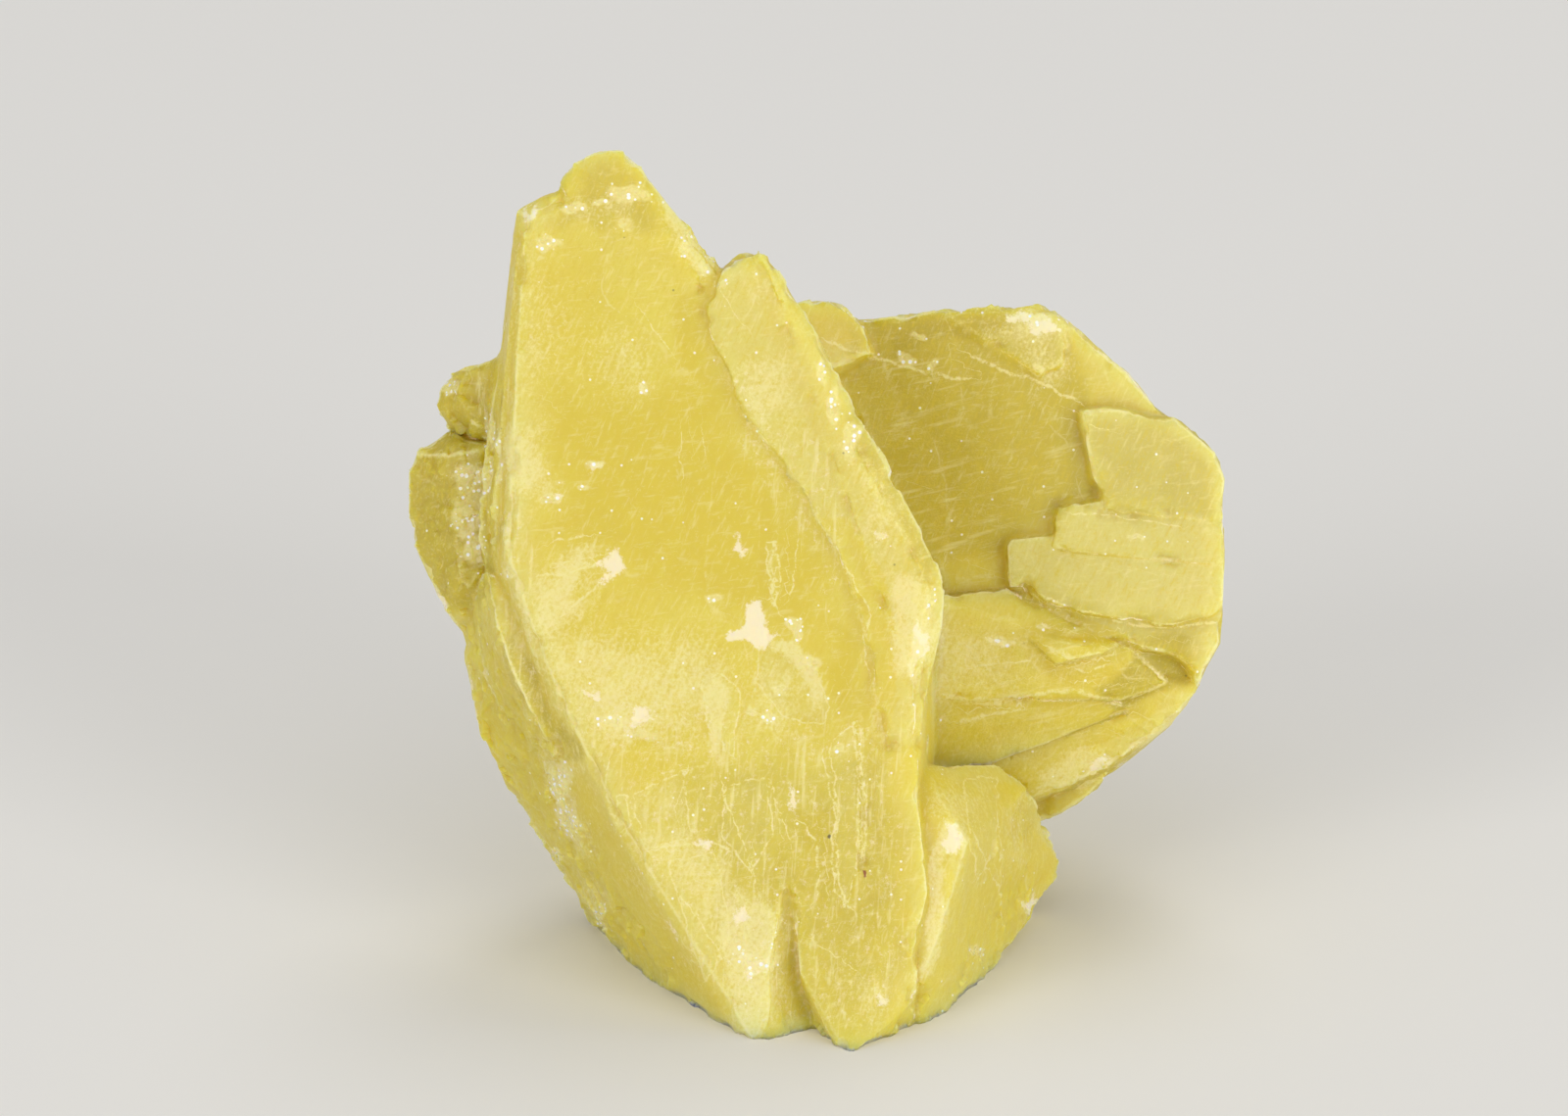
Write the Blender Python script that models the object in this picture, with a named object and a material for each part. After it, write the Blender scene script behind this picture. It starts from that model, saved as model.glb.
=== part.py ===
# Native sulfur: a cluster of tabular crystals grown into one another and broken
# off flat underneath, so that it stands on the break.
#
# The crystals are drawn in the plane of the big front face, which leans back
# from upright by LEAN. There u runs right, v runs up the face and w runs back
# into the cluster, in millimetres, from a point near the front tip of the
# break. The finished cluster is leaned back, cut level and brought to metres.

import math

import bmesh
import bpy
from mathutils import Matrix, Vector

NAME = "sulfur_crystal"
MM = 0.001
LEAN = math.radians(22.0)

# A flat face in the drawing frame: its depth w at u = v = 0, and how much
# deeper it gets for each millimetre along u and along v.
MAIN_FACE = (1.4, -0.06, 0.03)
MAIN_BACK = (19.0, 0.04, -0.09)
BACK_CRYSTAL_FACE = (12.2, -0.07, 0.0)
BACK_CRYSTAL_BACK = (22.0, 0.06, 0.02)

# Sulfur grows as steep dipyramids whose axes stand in these proportions.
AXIS_A = 0.81
AXIS_B = 1.0
AXIS_C = 1.9

# Where the flatter end faces of a dipyramid start, as a share of its axes, and their slope.
SHOULDER = 0.5
SHOULDER_SLOPE = 1.2


def depth(face, u, v):
    start, along_u, along_v = face
    return start + along_u * u + along_v * v


def on_face(face, outline, lift=0.0):
    # Corners of an outline as points on a face, or lifted off it towards the front.
    return [(u, v, depth(face, u, v) - lift) for u, v in outline]


def add_object(name, bm):
    bmesh.ops.recalc_face_normals(bm, faces=bm.faces)
    mesh = bpy.data.meshes.new(name)
    bm.to_mesh(mesh)
    bm.free()
    obj = bpy.data.objects.new(name, mesh)
    bpy.context.scene.collection.objects.link(obj)
    return obj


def block(name, corners):
    # A convex crystal from its corners, as a hull with flat facets.
    bm = bmesh.new()
    for u, v, w in corners:
        bm.verts.new((u, w, v))
    hull = bmesh.ops.convex_hull(bm, input=bm.verts)
    loose = [v for v in hull["geom_interior"] if isinstance(v, bmesh.types.BMVert)]
    bmesh.ops.delete(bm, geom=loose, context="VERTS")
    bmesh.ops.triangulate(bm, faces=bm.faces)
    return add_object(name, bm)


def facet(obj, through, facing):
    # Cuts a flat face on a crystal, through a point and facing a direction (u, v, w).
    bm = bmesh.new()
    bm.from_mesh(obj.data)
    everything = bm.verts[:] + bm.edges[:] + bm.faces[:]
    u, v, w = through
    out_u, out_v, out_w = facing
    cut = bmesh.ops.bisect_plane(bm, geom=everything, plane_co=(u, w, v),
                                 plane_no=(out_u, out_w, out_v), clear_outer=True)
    rim = [e for e in cut["geom_cut"] if isinstance(e, bmesh.types.BMEdge)]
    bmesh.ops.edgeloop_fill(bm, edges=rim)
    bmesh.ops.triangulate(bm, faces=bm.faces)
    bmesh.ops.recalc_face_normals(bm, faces=bm.faces)
    bm.to_mesh(obj.data)
    bm.free()


def flat_back(obj, face):
    start, along_u, along_v = face
    facet(obj, (0.0, 0.0, start), (-along_u, -along_v, 1.0))


def dipyramid(name, centre, width, turns, blunt=0.62):
    # A sulfur crystal: a dipyramid width across its b axis, with blunt tips and
    # flatter faces under them. turns are its turns about u, w and v in degrees.
    half = width / 2
    a, b, c = AXIS_A * half, AXIS_B * half, AXIS_C * half
    tips = [(a, 0, 0), (-a, 0, 0), (0, 0, b), (0, 0, -b), (0, c, 0), (0, -c, 0)]
    obj = block(name, tips)
    for end in (1, -1):
        facet(obj, (0, end * blunt * c, 0), (0, end, 0))
        for side in (1, -1):
            shoulder = (0, end * SHOULDER * c, side * SHOULDER * b)
            facet(obj, shoulder, (0, end, side * SHOULDER_SLOPE))
    turn = Matrix.Identity(3)
    for degrees, axis in zip(turns, "XYZ"):
        turn = Matrix.Rotation(math.radians(degrees), 3, axis) @ turn
    u, v, w = centre
    for vert in obj.data.vertices:
        vert.co = turn @ vert.co + Vector((u, w, v))
    return obj


def tilted(face, outline, along_u, along_v):
    # The face turned about the middle of an outline, to sink one side of a plate.
    middle_u = sum(u for u, v in outline) / len(outline)
    middle_v = sum(v for u, v in outline) / len(outline)
    start = face[0] - along_u * middle_u - along_v * middle_v
    return (start, face[1] + along_u, face[2] + along_v)


def plate(name, outline, face, lift, root=1.5, flare=0.0, tilt=(0.0, 0.0)):
    # A plate or ledge that stands lift in front of a face and is rooted behind
    # it. Its outline grows by flare, a share of its size, from front to root.
    # Negative lift and root make one that stands off the back of a crystal.
    bm = bmesh.new()
    top = tilted(face, outline, *tilt)
    front = [bm.verts.new((u, w, v)) for u, v, w in on_face(top, outline, lift)]
    cap = bm.faces.new(front)
    middle = cap.calc_center_median()
    made = bmesh.ops.extrude_face_region(bm, geom=[cap])
    back = [v for v in made["geom"] if isinstance(v, bmesh.types.BMVert)]
    for vert in back:
        vert.co = middle + (vert.co - middle) * (1.0 + flare)
        vert.co.y = depth(face, vert.co.x, vert.co.z) + root
    bmesh.ops.triangulate(bm, faces=bm.faces)
    return add_object(name, bm)


def main_crystal():
    front = [
        (-9.6, 43.6), (-6.7, 41.4), (-4.9, 39.2), (0.6, 31.0), (4.4, 25.4),
        (5.7, 22.6), (5.2, 18.0), (4.9, 12.0), (-9.9, 11.3), (-12.4, 16.4), (-14.2, 20.5),
        (-15.8, 25.4), (-15.4, 29.0), (-15.1, 38.5), (-14.9, 42.4), (-13.5, 43.2),
    ]
    foot = [
        (4.4, 2.0, 1.4), (3.6, 0.2, 1.6), (-2.0, 0.0, 1.1), (-3.0, 0.1, 1.3), (-4.2, 0.8, 2.2),
        (-5.6, 5.4, 1.9),
    ]
    flank = [
        (-6.4, 1.7, 5.8), (-7.9, 2.4, 8.2), (-9.2, 3.5, 10.6), (-10.7, 5.1, 13.6),
        (-12.0, 7.8, 12.1), (-14.2, 11.0, 12.2), (-15.9, 13.8, 11.6), (-17.4, 16.8, 10.8),
        (-17.9, 19.8, 10.4), (-17.8, 22.2, 9.8), (-16.6, 30.0, 7.4), (-15.8, 36.0, 6.0),
        (-15.5, 40.6, 5.2), (-15.3, 42.7, 4.6), (-13.9, 43.4, 5.0), (-13.4, 43.7, 4.2),
    ]
    top = [(-10.4, 43.5, 6.2), (-7.4, 41.2, 7.0), (-13.0, 42.4, 8.0)]
    back = [
        (-13.5, 40.0, 24.0), (-9.0, 42.0, 24.0), (-3.0, 38.0, 24.0), (6.5, 24.0, 24.0),
        (6.5, 2.0, 24.0), (-6.0, 0.0, 24.0), (-12.0, 5.0, 24.0), (-16.5, 17.0, 24.0),
        (-16.0, 32.0, 24.0), (5.0, -2.0, 8.0), (-4.0, -2.0, 8.0),
    ]
    crystal = block("main", on_face(MAIN_FACE, front) + foot + flank + top + back)
    flat_back(crystal, MAIN_BACK)
    facet(crystal, (-10.0, 41.0, 10.0), (-0.15, 0.75, 0.65))
    facet(crystal, (-1.0, 35.5, 11.0), (0.6, 0.6, 0.55))
    facet(crystal, (-15.8, 28.0, 12.0), (-0.8, 0.15, 0.55))
    facet(crystal, (-14.0, 12.0, 15.0), (-0.7, -0.3, 0.65))
    facet(crystal, (6.0, 20.0, 13.0), (0.8, 0.1, 0.6))
    return crystal


def apex():
    # The blunt tip at the top of the big face, with a bevel down its right edge.
    corners = [
        (-13.3, 44.1, 3.9), (-12.4, 45.1, 3.6), (-11.2, 45.7, 3.4), (-9.8, 45.8, 3.4),
        (-8.0, 43.5, 3.6), (-6.6, 41.9, 3.6), (-4.8, 39.6, 3.4), (-10.2, 44.6, 3.15),
        (-7.4, 41.4, 2.85), (-5.9, 39.2, 2.75), (-12.8, 43.4, 3.35), (-7.0, 36.0, 4.0),
        (-12.0, 42.0, 4.4), (-10.8, 45.0, 6.4), (-6.0, 39.8, 7.0), (-12.4, 43.6, 6.4),
        (-9.0, 38.0, 8.0),
    ]
    return block("apex", corners)


def left_edge_ledges():
    # Long narrow growth ledges down the left edge of the big face.
    outer = [
        (-15.4, 40.4, 5.8), (-15.9, 36.8, 5.4), (-16.6, 33.0, 5.5), (-17.0, 29.5, 5.6),
        (-17.2, 26.0, 6.0), (-16.8, 23.4, 6.8), (-14.6, 38.0, 5.4), (-14.6, 25.0, 5.6),
        (-15.0, 37.0, 8.5), (-15.4, 24.0, 9.0), (-16.2, 35.0, 8.0), (-16.8, 27.0, 8.6),
    ]
    inner = [
        (-15.2, 41.2, 4.0), (-15.6, 37.4, 3.9), (-16.0, 33.0, 4.0), (-16.4, 28.6, 4.1),
        (-16.5, 25.2, 4.4), (-16.1, 23.2, 4.8), (-14.0, 39.0, 4.4), (-14.0, 25.0, 4.6),
        (-14.4, 36.0, 6.5), (-14.6, 25.0, 7.0), (-16.0, 36.0, 5.6), (-16.6, 27.0, 6.0),
    ]
    return [block("outer_ledge", outer), block("inner_ledge", inner)]


def flank_ledge():
    # A second edge that runs beside the left edge of the big face, below its widest part.
    corners = [
        (-16.9, 24.4, 4.9), (-16.4, 21.8, 4.4), (-15.6, 19.4, 4.2), (-14.6, 17.2, 4.3),
        (-13.4, 14.8, 4.9), (-14.2, 22.0, 4.4), (-12.8, 17.0, 4.4), (-17.6, 23.0, 7.6),
        (-17.0, 19.0, 8.0), (-15.0, 15.0, 8.6), (-14.0, 21.0, 9.0), (-12.0, 15.0, 9.0),
    ]
    return block("flank_ledge", corners)


def left_crystal():
    corners = [
        (-20.6, 30.3, 8.8), (-18.9, 31.4, 8.6), (-20.9, 29.2, 9.0), (-20.9, 27.0, 9.2),
        (-20.5, 25.6, 9.2), (-19.8, 24.7, 9.2), (-19.4, 23.5, 9.2), (-18.9, 22.2, 9.4),
        (-18.9, 30.2, 7.4), (-18.6, 27.4, 7.2), (-18.2, 23.8, 7.6),
        (-16.8, 30.6, 6.9), (-16.6, 23.0, 7.4), (-14.0, 31.0, 10.0), (-14.0, 22.0, 12.0),
        (-18.8, 29.4, 13.5), (-18.6, 23.4, 13.5), (-16.4, 19.0, 11.5), (-16.0, 31.5, 14.0),
    ]
    return block("left", corners)


def small_left_crystal():
    corners = [
        (-18.6, 34.6, 8.2), (-19.4, 33.6, 8.4), (-19.5, 32.8, 8.4), (-18.8, 31.5, 8.8),
        (-17.7, 34.8, 7.0), (-18.3, 33.6, 6.9), (-17.8, 32.0, 6.9),
        (-16.2, 35.2, 6.4), (-16.2, 33.0, 6.2), (-16.2, 31.0, 6.6),
        (-14.0, 34.0, 9.0), (-15.0, 30.0, 11.0), (-17.8, 33.8, 12.0), (-16.0, 34.0, 13.0),
    ]
    return block("small_left", corners)


def flap():
    # The thin crystal that overlaps the right of the big face: a flat strip with
    # a scalloped left edge, and a bevel from its crest to its right edge.
    strip = [
        (-4.9, 39.5), (-5.7, 37.5), (-5.3, 35.9), (-4.4, 34.4), (-4.2, 33.3), (-3.2, 31.7),
        (-2.0, 30.2), (-0.9, 28.6), (-0.1, 27.0), (0.9, 25.7), (1.8, 23.5), (2.6, 20.5),
        (3.0, 17.5), (3.4, 15.2), (4.6, 15.8), (5.0, 18.6), (5.4, 21.2), (5.7, 23.4),
        (4.8, 25.6), (3.2, 28.5), (1.8, 31.2), (0.5, 33.4), (-0.6, 35.4), (-1.9, 38.4),
        (-3.0, 40.2), (-3.6, 40.6),
    ]
    edge = [
        (-3.1, 40.9, 2.2), (-2.0, 39.7, 2.4), (-1.0, 38.2, 2.5), (-0.8, 36.8, 2.6),
        (0.0, 35.8, 2.6), (1.4, 33.6, 2.6), (2.0, 32.3, 2.6), (2.8, 30.4, 2.5),
        (4.1, 28.2, 2.4), (5.3, 26.1, 2.2), (6.1, 24.8, 2.0), (6.5, 23.5, 1.9),
        (6.3, 21.4, 1.9), (5.8, 20.0, 2.0), (5.4, 18.3, 2.2), (5.3, 16.6, 2.4),
        (4.9, 15.4, 2.6),
    ]
    crest = [
        (-3.4, 40.4), (-2.1, 38.4), (-0.8, 35.4), (0.3, 33.4), (1.6, 31.2), (3.0, 28.5),
        (4.6, 25.6), (5.5, 23.4), (5.2, 21.2), (4.8, 18.6),
    ]
    root = [(-2.0, 38.0, 8.0), (4.0, 27.0, 8.0), (4.4, 18.0, 8.0), (2.0, 22.0, 3.0)]
    return [
        plate("flap", strip, MAIN_FACE, 0.34, root=4.0, tilt=(0.0, -0.008)),
        block("flap_bevel", edge + on_face(MAIN_FACE, crest, 0.24) + root),
    ]


def foot_slats():
    # Long narrow splinters that run down the lower part of the big face.
    tongue = [
        (0.2, 15.4), (0.4, 16.3), (2.2, 17.0), (2.4, 14.0), (2.3, 9.4), (1.8, 7.1), (1.1, 8.2),
        (0.9, 12.8), (0.5, 14.0),
    ]
    right = [
        (2.9, 17.4), (4.9, 17.6), (5.2, 12.0), (5.6, 8.0), (4.8, 4.6), (3.6, 7.0), (2.8, 10.4),
    ]
    middle = [
        (-2.1, 13.2), (-1.5, 11.7), (-0.1, 9.4), (0.2, 7.1), (1.0, 6.5), (-0.6, 6.2),
        (-1.6, 8.2), (-3.0, 11.2), (-3.2, 13.0),
    ]
    return [
        plate("tongue", tongue, MAIN_FACE, 0.16, tilt=(-0.05, 0.01)),
        plate("right_slat", right, MAIN_FACE, 0.2, root=3.0, flare=0.08, tilt=(-0.06, -0.01)),
        plate("middle_slat", middle, MAIN_FACE, 0.14, tilt=(0.02, -0.01)),
    ]


def foot_groove():
    # The groove between the left foot of the big face and the tip wedge. Its left side slopes.
    corners = [
        (-1.7, 8.4, 1.7), (-2.4, 4.0, 1.5), (-2.3, -1.5, 1.2), (-0.5, 4.6, 1.8), (0.3, -1.5, 2.9),
        (1.5, 8.0, -1.0), (1.5, -1.5, -1.5), (-2.3, -1.5, -1.5), (-2.0, 8.0, -1.0),
    ]
    return block("groove", corners)


def tip_wedge():
    corners = [
        (-1.1, 6.7, 1.45), (-0.9, 4.0, 1.2), (-0.1, 2.4, 0.95), (0.5, 1.1, 0.65), (1.6, -0.2, -0.1),
        (2.7, 0.4, 0.5), (4.9, 2.4, 1.4), (5.1, 4.0, 1.4), (4.4, 7.5, 1.25), (1.5, 8.4, 1.5),
        (1.7, -1.5, 3.0), (1.0, 6.0, 6.0), (5.0, -1.0, 6.0), (0.0, -1.0, 6.0), (0.0, 7.0, 4.0),
    ]
    return block("tip", corners)


def corner_crystal():
    # The crystal at the lower right, which turns away to the right of its ridge.
    ridge = [
        (7.0, 11.6, 2.2), (7.6, 10.5, 2.3), (6.8, 8.8, 2.0), (6.3, 6.2, 1.9), (5.7, 4.6, 1.9),
        (5.1, 3.3, 2.0), (5.2, 0.4, 3.4),
    ]
    left = [
        (6.0, 11.9, 2.3), (5.0, 12.2, 1.9), (4.9, 10.2, 1.8), (4.9, 7.2, 1.7), (4.9, 5.4, 1.7),
        (5.2, 14.4, 3.2), (6.3, 13.8, 3.8),
    ]
    right = [
        (6.5, 0.8, 4.8), (7.5, 1.8, 6.8), (8.6, 3.6, 10.8), (10.2, 6.0, 16.6), (11.7, 8.0, 15.8),
        (12.4, 8.7, 15.2), (12.4, 9.4, 14.8), (11.7, 10.4, 13.8), (11.3, 11.4, 13.0),
        (11.0, 12.5, 12.0), (10.8, 13.2, 11.2), (9.3, 14.4, 9.6), (7.7, 14.2, 7.0),
    ]
    root = [(3.0, 2.0, 4.5), (3.0, 13.0, 14.0), (6.0, 2.0, 19.0), (9.0, 12.0, 17.0)]
    return block("corner", ridge + left + right + root)


def back_crystal():
    # The big tabular crystal behind, to the right.
    front = [
        (-2.0, 36.3), (2.2, 37.2), (6.3, 37.7), (11.7, 37.9), (13.0, 37.0), (14.2, 35.7),
        (15.8, 34.5), (17.0, 33.0), (18.9, 31.0), (20.4, 28.8), (20.8, 24.0),
    ]
    lower = [
        (20.6, 21.2, 11.3), (19.9, 19.4, 11.7), (19.6, 18.3, 12.0), (18.5, 17.0, 12.4),
        (17.1, 15.8, 12.9), (14.9, 14.2, 13.6), (12.6, 13.1, 14.3), (4.0, 20.0, 11.6),
        (12.0, 19.0, 11.2), (4.0, 10.0, 14.6),
    ]
    back = [
        (0.0, 37.0, 26.0), (12.0, 37.0, 26.0), (19.5, 30.0, 26.0), (20.0, 22.0, 26.0),
        (16.0, 14.0, 26.0), (9.0, 11.5, 26.0), (0.0, 12.0, 26.0),
    ]
    crystal = block("back", on_face(BACK_CRYSTAL_FACE, front) + lower + back)
    flat_back(crystal, BACK_CRYSTAL_BACK)
    facet(crystal, (8.0, 36.6, 16.5), (0.05, 0.8, 0.6))
    facet(crystal, (16.0, 33.2, 16.0), (0.6, 0.6, 0.5))
    facet(crystal, (20.0, 26.0, 16.0), (0.85, 0.0, 0.5))
    facet(crystal, (15.5, 15.0, 18.0), (0.5, -0.6, 0.6))
    facet(crystal, (1.0, 34.0, 18.0), (-0.7, 0.35, 0.6))
    return crystal


def back_crystal_tip():
    corners = [
        (-1.4, 38.0, 10.0), (0.3, 38.2, 10.4), (1.4, 38.1, 10.6), (2.2, 37.2, 11.0),
        (2.8, 35.6, 11.2), (-1.0, 34.0, 10.4), (1.0, 37.8, 14.0), (-1.0, 37.0, 16.0),
        (3.0, 34.0, 15.0),
    ]
    return block("back_tip", corners)


def back_crystal_skirt():
    # The layer that shows under the lower edge of the back crystal.
    corners = [
        (15.1, 14.6, 14.6), (14.9, 13.7, 14.7), (14.0, 12.8, 15.4), (12.6, 11.9, 16.2),
        (11.6, 11.4, 16.9), (10.0, 12.0, 16.8), (9.0, 15.0, 15.4), (14.0, 17.0, 15.2),
        (12.0, 12.6, 22.0), (8.0, 10.5, 23.0), (14.0, 15.0, 21.0), (6.0, 9.0, 20.0),
    ]
    return block("skirt", corners)


def stepped_plate():
    # Growth layers on the back crystal, which end in steps on the left.
    upper = [
        (13.5, 32.5), (14.8, 32.6), (16.0, 32.5), (17.2, 32.1), (18.3, 32.2), (20.4, 30.4),
        (20.9, 29.0), (20.7, 27.7), (20.8, 26.8), (14.6, 27.4), (14.7, 28.5), (14.3, 28.6),
        (14.0, 30.0),
    ]
    middle = [
        (12.3, 27.7), (14.7, 27.9), (17.0, 27.5), (20.7, 27.4), (20.9, 25.2), (20.6, 24.6),
        (12.0, 25.4), (12.3, 26.5), (12.1, 27.1),
    ]
    lower = [
        (10.0, 25.9), (12.0, 26.1), (15.0, 26.0), (20.9, 25.6), (20.8, 22.4), (20.0, 21.8),
        (18.5, 21.5), (16.9, 21.6), (15.3, 21.9), (13.3, 22.2), (11.8, 22.7), (10.8, 23.5),
        (9.9, 23.5), (9.8, 25.6),
    ]
    under = [
        (10.4, 23.8), (20.8, 22.6), (20.6, 20.6), (19.9, 19.4), (19.5, 18.4), (19.1, 19.5),
        (18.4, 20.1), (16.6, 20.4), (15.6, 20.9), (12.8, 20.9), (11.4, 21.6),
    ]
    return [
        plate("upper_step", upper, BACK_CRYSTAL_FACE, 1.05, root=2.0, tilt=(0.04, 0.02)),
        plate("middle_step", middle, BACK_CRYSTAL_FACE, 0.95, root=2.0, tilt=(0.02, 0.0)),
        plate("lower_step", lower, BACK_CRYSTAL_FACE, 0.85, root=2.0),
        plate("under_step", under, BACK_CRYSTAL_FACE, 0.5, root=2.5, flare=0.03),
    ]


def corner_patch():
    # A thin layer in the upper corner of the back crystal's face.
    outline = [
        (6.6, 37.6), (11.7, 37.7), (12.9, 36.9), (12.6, 34.9), (11.5, 34.3), (8.9, 36.0),
    ]
    return plate("corner_patch", outline, BACK_CRYSTAL_FACE, 0.2, tilt=(-0.03, 0.05))


def wing():
    # The layered wing between the flap and the stepped plate, and its ribs.
    band = [
        (5.0, 23.0, 9.8), (9.9, 23.4, 10.7), (12.2, 20.9, 10.6), (16.3, 20.2, 10.7),
        (18.0, 18.6, 11.5), (15.6, 17.7, 11.3), (12.8, 18.2, 10.7), (11.0, 18.0, 10.6),
        (7.9, 17.6, 10.6), (5.0, 17.8, 10.4), (5.0, 22.0, 14.0), (5.0, 17.6, 14.0),
        (14.0, 18.5, 15.0), (17.0, 19.6, 15.0),
    ]
    rib = [
        (10.6, 21.2, 10.3), (12.2, 19.5, 10.1), (13.1, 19.8, 10.1), (14.8, 20.1, 10.3),
        (15.6, 20.6, 10.6), (13.0, 20.6, 10.0), (13.0, 20.0, 13.0), (11.0, 21.5, 13.0),
    ]
    fold = [
        (5.0, 18.0, 10.5), (7.4, 17.8, 10.7), (10.3, 18.0, 10.8), (14.0, 18.2, 11.2),
        (16.4, 17.2, 12.2), (9.0, 14.4, 12.2), (5.0, 13.6, 12.2), (8.0, 18.4, 14.0),
        (5.0, 18.4, 14.0),
    ]
    return [block("wing", band), block("rib", rib), block("fold", fold)]


def rear_crystals():
    # Crystals that show from behind only. The big one carries the cluster on the break.
    return [
        dipyramid("rear_foot", (0.5, 12.0, 20.5), 17.5, (14, 4, 18), blunt=0.66),
        dipyramid("rear_left", (-9.5, 19.0, 16.0), 10.5, (-10, 12, -35), blunt=0.7),
        dipyramid("rear_low_left", (-8.0, 9.5, 17.5), 9.0, (24, -16, 30)),
        dipyramid("rear_top", (-5.5, 33.0, 14.0), 8.5, (-14, -12, 20), blunt=0.58),
        dipyramid("rear_right", (12.0, 24.5, 22.5), 8.0, (30, 28, 40), blunt=0.58),
        dipyramid("rear_small", (3.4, 26.0, 17.0), 5.0, (-20, 20, 10), blunt=0.6),
        dipyramid("rear_low_right", (9.5, 14.0, 20.0), 7.0, (10, 38, 62), blunt=0.6),
    ]


def rear_layers():
    # Growth layers with stepped edges on the two big faces at the back.
    main_layer = [
        (-12.5, 33.5), (-9.5, 38.0), (-5.0, 35.5), (-1.0, 31.0), (1.5, 27.0), (-2.4, 26.4),
        (-2.8, 24.0), (-7.6, 24.5), (-8.2, 21.0), (-13.6, 21.6), (-14.3, 28.0),
    ]
    right_layer = [
        (2.0, 33.5), (7.5, 34.8), (12.4, 32.8), (15.8, 28.2), (13.4, 26.2), (13.2, 24.2),
        (9.4, 24.6), (8.8, 21.4), (4.0, 21.0), (1.5, 26.0),
    ]
    right_second_layer = [
        (5.0, 33.6), (8.0, 34.0), (12.0, 32.0), (14.6, 28.6), (11.2, 28.9), (10.8, 27.0),
        (7.2, 27.4), (4.6, 29.5),
    ]
    return [
        plate("main_layer", main_layer, MAIN_BACK, -0.8, root=-2.0, flare=0.04),
        plate("right_layer", right_layer, BACK_CRYSTAL_BACK, -0.9, root=-2.0, flare=0.03),
        plate("right_second_layer", right_second_layer, BACK_CRYSTAL_BACK, -1.6, root=-2.0),
    ]


def combine(target, others, operation):
    for other in others:
        join = target.modifiers.new("combine", "BOOLEAN")
        join.operation = operation
        join.solver = "EXACT"
        join.object = other
    graph = bpy.context.evaluated_depsgraph_get()
    mesh = bpy.data.meshes.new_from_object(target.evaluated_get(graph))
    target.modifiers.clear()
    target.data = mesh
    for other in others:
        bpy.data.objects.remove(other)
    return target


def stand_on_break(obj):
    # Lean back, cut level where the cluster broke off, and bring to metres.
    bm = bmesh.new()
    bm.from_mesh(obj.data)
    bmesh.ops.transform(bm, matrix=Matrix.Rotation(-LEAN, 4, "X"), verts=bm.verts)
    everything = bm.verts[:] + bm.edges[:] + bm.faces[:]
    cut = bmesh.ops.bisect_plane(bm, geom=everything, plane_co=(0, 0, 0), plane_no=(0, 0, -1),
                                 clear_outer=True)
    rim = [e for e in cut["geom_cut"] if isinstance(e, bmesh.types.BMEdge)]
    bmesh.ops.edgeloop_fill(bm, edges=rim)
    low = Vector([min(v.co[i] for v in bm.verts) for i in range(3)])
    high = Vector([max(v.co[i] for v in bm.verts) for i in range(3)])
    middle = (low + high) / 2
    bmesh.ops.translate(bm, vec=(-middle.x, -middle.y, -low.z), verts=bm.verts)
    bmesh.ops.scale(bm, vec=(MM, MM, MM), verts=bm.verts)
    bmesh.ops.triangulate(bm, faces=bm.faces)
    bmesh.ops.recalc_face_normals(bm, faces=bm.faces)
    bm.to_mesh(obj.data)
    bm.free()


def sulfur_material():
    material = bpy.data.materials.new("sulfur")
    material.use_nodes = True
    shader = material.node_tree.nodes["Principled BSDF"]
    shader.inputs["Base Color"].default_value = (0.75, 0.63, 0.12, 1.0)
    shader.inputs["Roughness"].default_value = 0.4
    shader.inputs["Metallic"].default_value = 0.0
    return material


def build():
    for obj in list(bpy.data.objects):
        bpy.data.objects.remove(obj)
    cluster = main_crystal()
    combine(cluster, [foot_groove()], "DIFFERENCE")
    grown = [apex(), back_crystal(), back_crystal_tip(), back_crystal_skirt(), corner_crystal()]
    grown += [left_crystal(), small_left_crystal(), corner_patch(), tip_wedge(), flank_ledge()]
    grown += left_edge_ledges() + flap() + foot_slats() + stepped_plate() + wing()
    grown += rear_crystals() + rear_layers()
    combine(cluster, grown, "UNION")
    stand_on_break(cluster)
    cluster.name = NAME
    cluster.data.materials.clear()
    cluster.data.materials.append(sulfur_material())
    home = bpy.data.collections.new("native_sulfur")
    bpy.context.scene.collection.children.link(home)
    bpy.context.scene.collection.objects.unlink(cluster)
    home.objects.link(cluster)
    return cluster


build()
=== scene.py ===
import math

import bmesh
import bpy
import numpy as np
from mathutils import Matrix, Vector
from mathutils.bvhtree import BVHTree
from mathutils.geometry import delaunay_2d_cdt
from mathutils.kdtree import KDTree


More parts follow.
